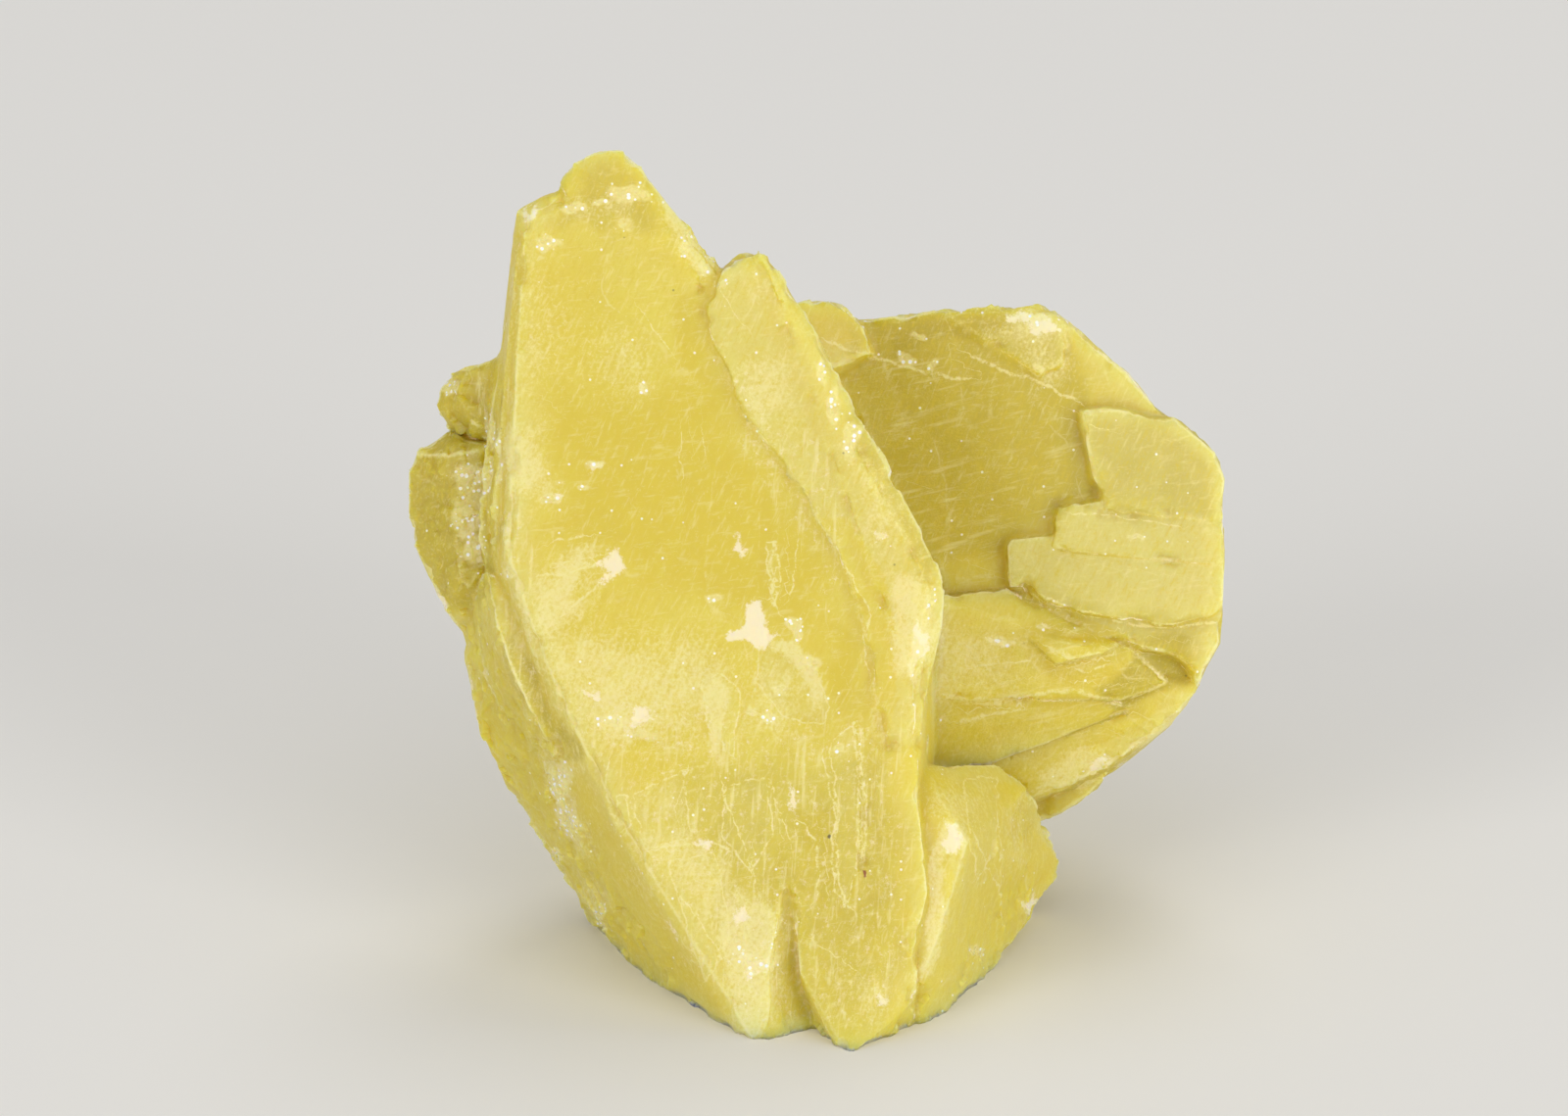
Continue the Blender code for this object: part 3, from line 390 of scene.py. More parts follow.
crystalMesh = {
    "spacings": (0.88, 0.44, 0.22, 0.11),  # mm between points, each half the one before
    "front": 0.22,                   # facets that look to the front
    "sides": 0.44,                   # facets that look to the sides and the back
    "breakFace": 0.88,               # the level break that it stands on
    "edgeZone": 0.24,                # mm from an outer edge where points are closer
    "flat": math.radians(0.8),       # facets closer in angle than this are one facet
    "sharp": math.radians(14.0),     # edges that show as edges
    "fineAngle": math.radians(25),   # outer edges sharper than this get the closest points
    "bruiseZone": 0.15,              # mm round a bruise, and round a raised line, where points
    "lineZone": 0.16,                # are closest
    "jitter": 0.3,                   # of the spacing, so that no grid shows
}


def readFacets(source):
    # the solid's facets as polygons, with the triangles of each flat joined
    bm = bmesh.new()
    bm.from_mesh(source)
    bmesh.ops.remove_doubles(bm, verts=bm.verts, dist=1e-6)
    bmesh.ops.dissolve_limit(bm, angle_limit=crystalMesh["flat"], verts=bm.verts, edges=bm.edges)
    bm.verts.index_update()
    bm.edges.index_update()
    bm.faces.index_update()
    return bm


def facetSpacing(facet, normal):
    # by where the facet looks: down, to the front (normal is in columns u, w, v) or elsewhere
    if facet.normal.z < -0.999:
        return crystalMesh["breakFace"]
    return crystalMesh["front"] if normal[1] < -0.08 else crystalMesh["sides"]


def splitEdge(start, end, spacing):
    # points between the ends of an edge, a power of two of them
    length = np.linalg.norm(end - start)
    parts = 1
    while length / parts > spacing * 1.3:
        parts *= 2
    return [start + (end - start) * i / parts for i in range(1, parts)]


def needsFinePoints(where):
    # where marks on the front are smaller than the front's own spacing
    near = np.zeros(len(where), bool)
    for outline in frontMarks["bruises"]:
        near |= outlineDepth(where, outline) > -crystalMesh["bruiseZone"]
    for path, halfWidth, height in frontMarks["threads"]:
        if height > 0:
            near |= pathOffset(where, path)[0] < crystalMesh["lineZone"]
    for place in frontMarks["crusts"]:
        near |= blobShare(where, *place) > 0.15
    return near


def latticePoints(corners, toDepth, spacing, fineRims, rng):
    # Interior points of one facet, in its own plane. The rows of a grid are thinned out by
    # powers of two, so that coarse and fine parts fit together.
    fine = crystalMesh["spacings"][-1]
    low, high = corners.min(0), corners.max(0)
    rows = np.arange(math.floor(low[1] / (fine * 0.866)), math.ceil(high[1] / (fine * 0.866)) + 1)
    columns = np.arange(math.floor(low[0] / fine) - 1, math.ceil(high[0] / fine) + 1)
    column, row = (grid.ravel() for grid in np.meshgrid(columns, rows))
    points = np.stack(((column + 0.5 * (row % 2)) * fine, row * fine * 0.866), axis=1)
    made = np.full(len(points), fine)
    for times in (2, 4, 8):
        made[(row % times == 0) & ((column + row // 2) % times == 0)] = fine * times
    wanted = np.full(len(points), spacing)
    for stretch in fineRims:
        wanted[pathOffset(points, stretch)[0] < crystalMesh["edgeZone"]] = fine
    if spacing == crystalMesh["front"]:
        wanted[needsFinePoints(toDepth(points)[:, [0, 2]])] = fine
    kept = made > wanted * 0.75
    points, wanted = points[kept], wanted[kept]
    kept = insidePolygon(points, corners)
    points, wanted = points[kept], wanted[kept]
    kept = pathOffset(points, corners, closed=True)[0] > wanted * 0.55
    points, wanted = points[kept], wanted[kept]
    return points + rng.uniform(-0.5, 0.5, points.shape) * (wanted * crystalMesh["jitter"])[:, None]


def facetFrames(bm, corner):
    # which way each facet looks, and how far apart its points are
    normals, spacings = {}, {}
    for facet in bm.faces:
        loop = corner[[v.index for v in facet.verts]]
        turn = np.sum(np.cross(loop, np.roll(loop, -1, axis=0)), axis=0)
        normals[facet.index] = turn / np.linalg.norm(turn)
        spacings[facet.index] = facetSpacing(facet, normals[facet.index])
    return normals, spacings


def splitEdges(bm, corner, points, normals, spacings):
    # adds the points along each edge; gives their numbers, the edges that show and the fine ones
    between, rims, fineEdges = {}, [], set()
    for edge in bm.edges:
        angle = edge.calc_face_angle_signed(0.0)
        spacing = min(spacings[facet.index] for facet in edge.link_faces)
        if angle > crystalMesh["fineAngle"] and spacing == crystalMesh["front"]:
            spacing = crystalMesh["spacings"][-1]
            fineEdges.add(edge.index)
        ends = [v.index for v in edge.verts]
        extra = splitEdge(corner[ends[0]], corner[ends[1]], spacing)
        between[edge.index] = list(range(len(points), len(points) + len(extra)))
        points.extend(tuple(p) for p in extra)
        if abs(angle) > crystalMesh["sharp"]:
            outward = sum(normals[facet.index] for facet in edge.link_faces)
            rims.append((corner[ends[0]], corner[ends[1]], angle, outward / np.linalg.norm(outward)))
    return between, rims, fineEdges


def fillFacet(facet, corner, points, normal, spacing, between, fineEdges, rng):
    # even triangles over one facet, whose new points are added to points
    across = np.cross(normal, (0.3, 0.5, 0.8))  # a direction that no facet looks along
    across /= np.linalg.norm(across)
    basis = np.stack((across, np.cross(normal, across)))
    outline, fineRims = [], []
    for loop in facet.loops:
        start, end = loop.vert.index, loop.link_loop_next.vert.index
        middle = between[loop.edge.index]
        outline += [start] + (middle if loop.edge.verts[0].index == start else middle[::-1])
        if loop.edge.index in fineEdges:
            fineRims.append(corner[[start, end]] @ basis.T)
    corners = corner[[v.index for v in facet.verts]] @ basis.T
    rimPoints = np.array([points[i] for i in outline])
    lift = normal * (rimPoints @ normal).mean()
    inner = latticePoints(corners, lambda flat: flat @ basis + lift, spacing, fineRims, rng)
    flat = [Vector(p) for p in rimPoints @ basis.T] + [Vector(p) for p in inner]
    ring = list(range(len(outline)))
    verts, _, faces, origins, _, _ = delaunay_2d_cdt(flat, [], [ring], 1, 1e-6)
    names = outline + list(range(len(points), len(points) + len(inner)))
    points.extend(tuple(p) for p in inner @ basis + lift)
    made = []
    for place, origin in zip(verts, origins):
        if origin:
            made.append(names[origin[0]])
        else:
            made.append(len(points))
            points.append(tuple(np.array(place) @ basis + lift))
    return [[made[i] for i in face] for face in faces]


def fineMesh(source):
    # fills every facet with even triangles that share their points along the edges
    bm = readFacets(source)
    rng = np.random.default_rng(7)
    corner = toDrawing([v.co for v in bm.verts])
    points, triangles = [tuple(p) for p in corner], []
    normals, spacings = facetFrames(bm, corner)
    between, rims, fineEdges = splitEdges(bm, corner, points, normals, spacings)
    for facet in bm.faces:
        triangles += fillFacet(facet, corner, points, normals[facet.index], spacings[facet.index],
                               between, fineEdges, rng)
    bm.free()
    points, triangles = np.array(points), np.array(triangles)
    used = np.unique(triangles)
    renumber = np.zeros(len(points), int)
    renumber[used] = np.arange(len(used))
    return points[used], renumber[triangles], rims


print("growing the fine mesh")
points, triangles, rims = fineMesh(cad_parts["sulfur_crystal"].data)
print(len(points), "points,", len(triangles), "triangles,", len(rims), "sharp edges")


def unitRows(vectors):
    return vectors / np.maximum(np.linalg.norm(vectors, axis=1, keepdims=True), 1e-12)


def triangleTurns(places):
    # each triangle's direction, as long as twice its area
    a, b, c = (places[triangles[:, i]] for i in range(3))
    return np.cross(b - a, c - a)


def pointNormals(places):
    turns = triangleTurns(places)
    total = np.zeros_like(places)
    for i in range(3):
        np.add.at(total, triangles[:, i], turns)
    return unitRows(total)


def sharedSides():
    # both ends of each triangle's sides, listed each way round
    ends = np.concatenate((triangles[:, [0, 1]], triangles[:, [1, 2]], triangles[:, [2, 0]]))
    return np.concatenate((ends, ends[:, ::-1]))


def evened(places, share):
    # each point moved a share of the way to the middle of its neighbours
    total = [np.bincount(sides[:, 0], places[sides[:, 1], i], len(points)) for i in range(3)]
    return places + (np.stack(total, axis=1) / neighbours[:, None] - places) * share[:, None]


def edgeSamples(standsOut, step=0.1):
    # points along the edges that stand out, or the creases: place, way out and sharpness
    places, outward, angles = [], [], []
    for start, end, angle, out in rims:
        if (angle > 0) != standsOut:
            continue
        count = max(2, int(np.linalg.norm(end - start) / step))
        for share in (np.arange(count) + 0.5) / count:
            places.append(start + (end - start) * share)
            outward.append(out)
            angles.append(abs(angle))
    return np.array(places), np.array(outward), np.array(angles)


def treeOf(places):
    tree = KDTree(len(places))
    for i, place in enumerate(places):
        tree.insert(place, i)
    tree.balance()
    return tree


def nearestOf(tree, places):
    # which of the tree's points is nearest to each place, and how far it is
    found = [tree.find(p)[1:] for p in places]
    return np.array([index for index, distance in found]), np.array([d for index, d in found])


def seenFromFront():
    # points that nothing stands in front of, for the marks that are drawn on the front
    tree = BVHTree.FromPolygons([Vector(p) for p in points], triangles.tolist())
    towards = Vector((0, -1, 0))
    seen = np.zeros(len(points), bool)
    for i in np.nonzero(normals[:, 1] < -0.12)[0]:
        start = Vector(points[i] + normals[i] * 0.03) + towards * 0.02
        seen[i] = tree.ray_cast(start, towards)[0] is None
    return seen


normals = pointNormals(points)
sides = sharedSides()
neighbours = np.bincount(sides[:, 0], minlength=len(points))
edgePlaces, edgeOutward, edgeAngles = edgeSamples(True)
nearestEdge, edgeDistance = nearestOf(treeOf(edgePlaces), points)
edgeAngle = edgeAngles[nearestEdge]
creasePlaces, _, creaseAngles = edgeSamples(False)
nearestCrease, creaseDistance = nearestOf(treeOf(creasePlaces), points)
edgeClearance = nearestOf(treeOf(creasePlaces), edgePlaces)[1]
seen = seenFromFront()
print("surface read,", int(seen.sum()), "points face the front")


def warped(amount, size, seed):
    # u and v pushed about, so that drawn shapes get the borders of grown ones
    push = np.stack((cloudNoise(points, size, seed), cloudNoise(points, size, seed + 5)), axis=1)
    return points[:, [0, 2]] + push * amount


def paintFront():
    soft, ragged, tight = (warped(*frontMarks[name]) for name in ("soft", "ragged", "tight"))
    names = ("frost", "deep", "shadedAndThick", "broken", "pale", "flake", "crust", "across", "along", "soot",
             "rust")
    paint = {name: np.zeros(len(points)) for name in names}
    paint["bruise"] = np.full(len(points), -1.0)
    paint["thread"] = np.full(len(points), 1.0)
    paint["threadWidth"] = np.full(len(points), 0.05)
    lift = np.zeros(len(points))  # how far the marks stand out, mm

    def mark(name, share):
        paint[name] = np.maximum(paint[name], share)

    for outline in frontMarks["bruises"]:
        mark("bruise", outlineDepth(ragged, outline))
    lift -= frontMarks["bruiseDepth"] * ramp(paint["bruise"], -0.05, 0.2)
    for name in ("frost", "deep", "shadedAndThick", "broken"):
        for outline, strength, softness in frontMarks[name]:
            reach = 1.3 * softness
            mark(name, strength * ramp(outlineDepth(soft, outline), -reach, reach))
    for outline, strength in frontMarks["plates"]:
        mark("pale", strength * ramp(outlineDepth(points[:, [0, 2]], outline), -0.15, 0.1))
    nearest = np.full(len(points), 1e9)
    lines = [(path, halfWidth, False) for path, halfWidth, _ in frontMarks["threads"]]
    lines += [(outline, frontMarks["flakeLine"], True) for outline, _ in frontMarks["flakes"]]
    for path, halfWidth, closed in lines:
        distance, side = pathOffset(tight, path, closed)
        closer = distance < nearest
        nearest = np.where(closer, distance, nearest)
        paint["thread"] = np.where(closer, np.minimum(distance, 1.0) * side, paint["thread"])
        width = halfWidth * frontMarks["lineReach"]
        paint["threadWidth"] = np.where(closer, width, paint["threadWidth"])
    for path, _, height in frontMarks["threads"]:
        lift += height / 2 * (1 - ramp(pathOffset(tight, path)[0], 0.0, crystalMesh["lineZone"]))
    for outline, height in frontMarks["flakes"]:
        share = ramp(outlineDepth(tight, outline), -0.06, 0.10)
        lift += height * share
        mark("flake", share)
    for place in frontMarks["crusts"]:
        mark("crust", blobShare(ragged, *place))
    for name in ("across", "along"):
        for outline in frontMarks[name]:
            mark(name, ramp(outlineDepth(soft, outline), -0.6, 0.8))
    for name in ("soot", "rust"):
        for place in frontMarks[name + "Specks"]:
            mark(name, blobShare(tight, *place))
    return paint, lift


# The sides and the back carry the same kinds of marks, spread by noise: size of the patches
# in mm, seed, noise where the mark starts and where it is full, and its most.
restMarks = {
    "frost": (4.5, 81, -0.1, 0.7, 0.8),
    "deep": (6.0, 82, -0.2, 0.5, 0.9),
    "shadedAndThick": (9.0, 88, -0.1, 0.5, 0.7),
    "broken": (7.0, 89, -0.05, 0.15, 1.0),
    "pale": (7.0, 83, 0.1, 0.4, 0.6),
    "crust": (2.6, 84, 0.40, 0.56, 1.0),
    "across": (8.0, 85, 0.0, 0.3, 1.0),
    "along": (8.0, 86, 0.0, -0.3, 1.0),
}


def paintRest(paint):
    hidden = ~seen
    for name, (size, seed, start, full, most) in restMarks.items():
        paint[name][hidden] = ramp(cloudNoise(points, size, seed), start, full)[hidden] * most
    atEdges = cloudNoise(points, 1.6, 87) * 0.9 - np.minimum(edgeDistance, 2.0) * 0.7 - 0.12
    paint["bruise"][hidden] = np.clip(atEdges, -1, 1)[hidden]
    paint["thread"][hidden] = 1.0
    for name in ("flake", "soot", "rust"):
        paint[name][hidden] = 0.0


paint, lift = paintFront()
paintRest(paint)

# wear, growth and fracture on every side, in millimetres
wear = {
    "edgeDepth": (0.01, 0.05),     # lost along an outer edge, least and most
    "edgeWidth": 0.18,             # from the edge that the wear reaches
    "nibbleDepth": 0.3,            # gnawed off in stretches
    "nibbleWidth": 0.6,
    "chips": 1300,                 # shell-shaped bites out of the edges
    "chipRadius": (0.25, 1.0),
    "chipDepth": (0.03, 0.32),
    "hollowWidth": 0.6,            # from a crease that its rounding reaches
    "hollowRounds": 5,             # times that the hollow is evened out
    "foldRounds": 8,               # times that folded spots are evened out
    "waves": ((6.0, 0.10), (1.8, 0.04), (0.7, 0.016)),  # size and height of the swells
    "layerSize": 6.5,              # how far apart the edges of the growth layers are
    "stepHeight": 0.04,            # a growth layer's edge on the front
    "stepHeightBack": 0.08,
    "brokenSize": (1.5, 0.7),      # the flats of an uneven fracture, large and small
    "brokenDepth": (0.22, 0.14),
    "crustSize": 0.3,              # the flats of a sugary fracture
    "crustDepth": 0.06,
}


def bitChips():
    # bites with the curved surface that sulfur leaves where it breaks
    rng = np.random.default_rng(23)
    places = points.copy()
    tree = treeOf(points)
    weight = ramp(edgeAngles, math.radians(20), math.radians(75)) + 0.02
    weight *= ramp(edgeClearance, 0.5, 1.6)  # none in the hollows
    weight *= 0.35 + ramp(cloudNoise(edgePlaces, 5.0, 24), -0.2, 0.4)  # and more in some places
    picks = rng.choice(len(edgePlaces), wear["chips"], p=weight / weight.sum())
    for pick in picks:
        radius = rng.uniform(*wear["chipRadius"]) * rng.uniform(0.4, 1.0)
        least, most = wear["chipDepth"]
        depth = min(least + (most - least) * rng.uniform() ** 2.5, radius * 0.4)
        middle = edgePlaces[pick] + edgeOutward[pick] * (radius - depth)
        for place, index, distance in tree.find_range(middle, radius):
            if normals[index] @ edgeOutward[pick] < 0.3:
                continue
            move = (points[index] - middle) * (radius / max(distance, 1e-6) - 1)
            if np.linalg.norm(move) > np.linalg.norm(places[index] - points[index]):
                places[index] = points[index] + move
    return places


def roundedHollows():
    # how the points move as the hollows where crystals meet are evened out
    share = 0.9 * (1 - ramp(creaseDistance, 0.2, wear["hollowWidth"]))
    places = points
    for _ in range(wear["hollowRounds"]):
        places = evened(places, share)
    return places - points


def smoothedFolds(places):
    # evens out the few spots where the wear has folded a thin edge over
    before = unitRows(triangleTurns(points))
    for _ in range(wear["foldRounds"]):
        folded = np.sum(before * unitRows(triangleTurns(places)), axis=1) < 0.1
        share = np.zeros(len(points))
        share[triangles[folded]] = 0.8
        places = evened(places, share)
    print(int(folded.sum()), "steep triangles evened out")
    return places


def growthLayers():
    # thin growth layers: noise whose whole numbers are the edges of the layers
    drawn = points * (0.8, 0.8, 0.5)
    return cloudNoise(drawn, wear["layerSize"], 41) * 4.0 + cloudNoise(points, 0.9, 44) * 0.12


def shapeSurface():
    # the worn places of all points, and the marks that only the wear tells
    moved = bitChips()
    chipped = np.linalg.norm(moved - points, axis=1)
    # how far each point rises or sinks: slow swells, worn and gnawed edges, fractures and layers
    swell = sum(height * cloudNoise(points, size, 31 + i, 2)
                for i, (size, height) in enumerate(wear["waves"]))
    least, most = wear["edgeDepth"]
    worn = least + (most - least) * ramp(cloudNoise(points, 1.1, 51), -0.3, 0.7)
    sharpness = ramp(edgeAngle, math.radians(12), math.radians(50))
    lost = worn * sharpness * (1 - ramp(edgeDistance, 0.0, wear["edgeWidth"])) ** 2
    gnawed = ramp(cloudNoise(points, 1.2, 53), 0.0, 0.5) * wear["nibbleDepth"]
    lost += gnawed * sharpness * (1 - ramp(edgeDistance, 0.0, wear["nibbleWidth"]))
    sugar = brokenPlanes(points, wear["crustSize"], 71) * wear["crustDepth"] * paint["crust"]
    for i, (size, depth) in enumerate(zip(wear["brokenSize"], wear["brokenDepth"])):
        sugar += brokenPlanes(points, size, 91 + 7 * i) * depth * paint["broken"]
    layers = growthLayers()
    stepHeight = np.where(seen, wear["stepHeight"], wear["stepHeightBack"])
    inland = ramp(edgeDistance, 0.1, 0.5) * (1 - paint["broken"])
    level = np.floor(layers)
    steps = (level + ramp(layers - level, 0.0, 0.12)) * stepHeight * inland
    moved += normals * (swell - lost + sugar + lift * seen + steps)[:, None] + roundedHollows()

    paint["layers"] = layers
    clear = 0.35 + 0.65 * ramp(edgeClearance[nearestEdge], 0.2, 1.2)
    paint["rim"] = sharpness * (1 - ramp(edgeDistance, 0.02, 0.24)) * clear
    # painted light: the outer edges are paled for a glow of light let through there
    paint["thin"] = sharpness * (1 - ramp(edgeDistance, 0.0, 2.4)) * clear
    # painted shade: the colour deepens towards the creases where crystals meet
    paint["creaseShade"] = (1 - ramp(creaseDistance, 0.0, 1.1)) * ramp(creaseAngles[nearestCrease], 0.2, 0.7)
    paint["chip"] = ramp(chipped, 0.01, 0.06)
    return smoothedFolds(moved)


def keepInBox(places):
    # nothing stands outside the solid's own box, and the break stays level
    world = toWorld(places)
    low, high = np.array(lowCorner), np.array(highCorner)
    onBreak = toWorld(points)[:, 2] < 0.02 * mm
    world = np.clip(world, low, high)
    world[onBreak, 2] = 0.0
    return world


print("wearing the edges and faces")
world = keepInBox(shapeSurface())


def makeCrystal():
    mesh = bpy.data.meshes.new("sulfurCrystal")
    mesh.from_pydata(world.tolist(), [], triangles.tolist())
    for name, values in paint.items():
        layer = mesh.attributes.new(name, "FLOAT", "POINT")
        layer.data.foreach_set("value", values.astype(np.float32))
    mesh.shade_smooth()
    mesh.set_sharp_from_angle(angle=math.radians(32))
    sugary = paint["crust"][triangles].mean(axis=1) > 0.4
    mesh.polygons.foreach_set("use_smooth", ~sugary)
    piece = bpy.data.objects.new("sulfurCrystal", mesh)
    bpy.context.scene.collection.objects.link(piece)
    return piece


crystal = makeCrystal()


def linearColour(code):
    # "#rrggbb" as linear red, green, blue and 1
    shares = [int(code[i:i + 2], 16) / 255 for i in (1, 3, 5)]
    return [s / 12.92 if s <= 0.04045 else ((s + 0.055) / 1.055) ** 2.4 for s in shares] + [1.0]


def addNode(tree, kind, inputs=None, give=0, **settings):
    # one shader node with its settings, and each input linked or set; gives back one output
    node = tree.nodes.new("ShaderNode" + kind)
    for name, value in settings.items():
        setattr(node, name, value)
    for name, value in (inputs or {}).items():
        if isinstance(value, bpy.types.NodeSocket):
            tree.links.new(value, node.inputs[name])
        else:
            node.inputs[name].default_value = value
    return node if give is None else node.outputs[give]


sulfurLook = {
    "colours": {
        "milky": "#DFCE4C",       # the body, lemon with a milky cast
        "warm": "#DDC93A",        # the slow drift of the body colour
        "deep": "#D8C220",        # where the crystal is clean, and painted shade in the creases
        "shadedAndThick": "#BDA90C",       # painted shade on faces set back or turned from the lamps, also where it is clean and thick
        "pale": "#DACF78",        # thin plates, and the painted glow along outer edges
        "frost": "#EBE098",       # scratched and frosted skin
        "cream": "#F6EAC8",       # crushed powder in bruises
        # painted highlight colour
        "glint": "#FFFDF2",
        "soot": "#4A3B18",
        "rust": "#94400F",
    },
    # The washes lie over one another: colour, mark, pattern, how much of the pattern is
    # added to the mark, the sums where the wash starts and is full, and its most.
    "washes": [
        ("warm", None, "drift", 1.0, 0.40, 0.60, 1.0),
        ("deep", "deep", "mottle", 0.8, 0.40, 1.30, 0.95),
        # painted shade in the creases
        ("deep", "creaseShade", "mottle", 0.5, 0.45, 1.25, 0.6),
        ("pale", "pale", "mottle", 0.5, 0.30, 1.20, 0.80),
        # painted glow along the outer edges
        ("pale", "thin", "mottle", 0.8, 0.40, 1.50, 0.60),
        ("pale", "flake", "mottle", 0.8, 0.60, 1.60, 0.30),
        # painted shade: the set-back back crystal, the left flank and crystals and other faces turned
        # from the lamps are darkened
        ("shadedAndThick", "shadedAndThick", "mottle", 0.6, 0.30, 1.30, 0.90),
        ("deep", None, "speckle", 1.0, 0.50, 0.30, 0.50),
        ("deep", None, "fibre", 1.0, 0.48, 0.30, 0.55),
        ("frost", None, "fibre", 1.0, 0.52, 0.72, 0.32),
        ("frost", None, "cross", 1.0, 0.53, 0.72, 0.36),
        ("frost", "frost", "mottle", 1.6, 1.00, 2.00, 0.45),
        ("frost", "frost", "fibre", 3.0, 1.70, 2.60, 0.42),
        ("frost", "frost", "speckle", 3.0, 1.70, 2.50, 0.75),
        ("frost", "across", "acrossLines", 1.0, 1.10, 2.00, 0.50),
        ("frost", "along", "alongLines", 1.0, 1.10, 1.90, 0.60),
        ("frost", None, "layerLines", 1.0, 0.30, 1.00, 0.40),
        ("frost", "rim", "speckle", 1.1, 0.70, 1.35, 0.80),
        ("frost", "chip", "speckle", 0.9, 0.70, 1.30, 0.45),
        ("frost", None, "threads", 1.0, 0.10, 0.70, 0.85),
        ("cream", "along", "powder", 1.0, 1.52, 1.68, 0.55),
        ("cream", "bruise", "powder", 1.3, 0.56, 0.78, 0.92),
        ("frost", "crust", "mottle", 1.6, 1.05, 1.70, 0.70),
        # painted highlights: white dots stand for glints, in the crusts (where they are partly white
        # crushed grains) and as sparks scattered over the skin
        ("glint", "crust", "sugar", 1.0, 1.10, 1.45, 1.00),
        ("glint", None, "sparks", 1.0, 0.20, 0.80, 0.80),
        ("soot", "soot", "speckle", 0.3, 0.40, 0.80, 0.85),
        ("rust", "rust", "speckle", 0.3, 0.40, 0.80, 0.90),
        ("soot", None, "dust", 1.0, 0.20, 0.80, 0.45),
    ],
    # Stretched patterns: turn in the plane of the big face, then features per mm along u, w
    # and v. Striae 0.1 mm apart would blur away, so they are drawn two or three times coarser.
    "stretches": {
        "across": (14, (0.35, 0.35, 3.2)),
        "along": (-3, (3.4, 3.4, 0.3)),
        "fibre": (-24, (5.0, 5.0, 1.0)),
        "cross": (8, (1.0, 4.0, 4.4)),
    },
    # clouds: the stretch they lie in, features per mm, detail and roughness
    "clouds": {
        "drift": (None, 0.12, 2.0, 0.5),
        "mottle": (None, 0.8, 9.0, 0.74),
        "speckle": (None, 5.5, 4.0, 0.7),
        "powder": (None, 3.0, 7.0, 0.8),
        "fibre": ("fibre", 1.0, 4.0, 0.65),
        "cross": ("cross", 1.0, 4.0, 0.65),
        "across": ("across", 1.0, 3.0, 0.6),
        "along": ("along", 1.0, 3.0, 0.6),
    },
    # Dots in random cells: cells per mm, the share that holds a dot and its radius in cells.
    # Real dust is finer than the smallest dot here, which would not show.
    "dots": {
        "sugar": (3.4, 0.55, 0.42),
        "sparks": (1.9, 0.14, 0.17),
        "dust": (0.8, 0.16, 0.07),
    },
    # what the relief adds to the mottle
    "relief": {"speckle": 0.3, "fibre": 0.25, "acrossLines": 0.3, "alongLines": 0.3},
    "bumpStrength": 0.55,
    "bumpHeight": 0.16,       # mm
    "roughness": 0.42,
    "roughnessDrift": 0.16,
    "powderDulls": 0.3,       # powder is dull
    "crustShines": -0.16,     # and the flats of a fracture are bright
    "ior": 2.0,               # sulfur is 1.96 to 2.25, which gives its resinous lustre
    "gloss": 0.28,            # 0.5 is a clean face, and a scratched one sends back less
    "scatter": 1.0,           # share of light that goes in and comes out again
    "scatterDepth": 3.0,      # mm
    "scatterShares": (1.0, 0.82, 0.25),  # how far red, green and blue go, as shares of it
}


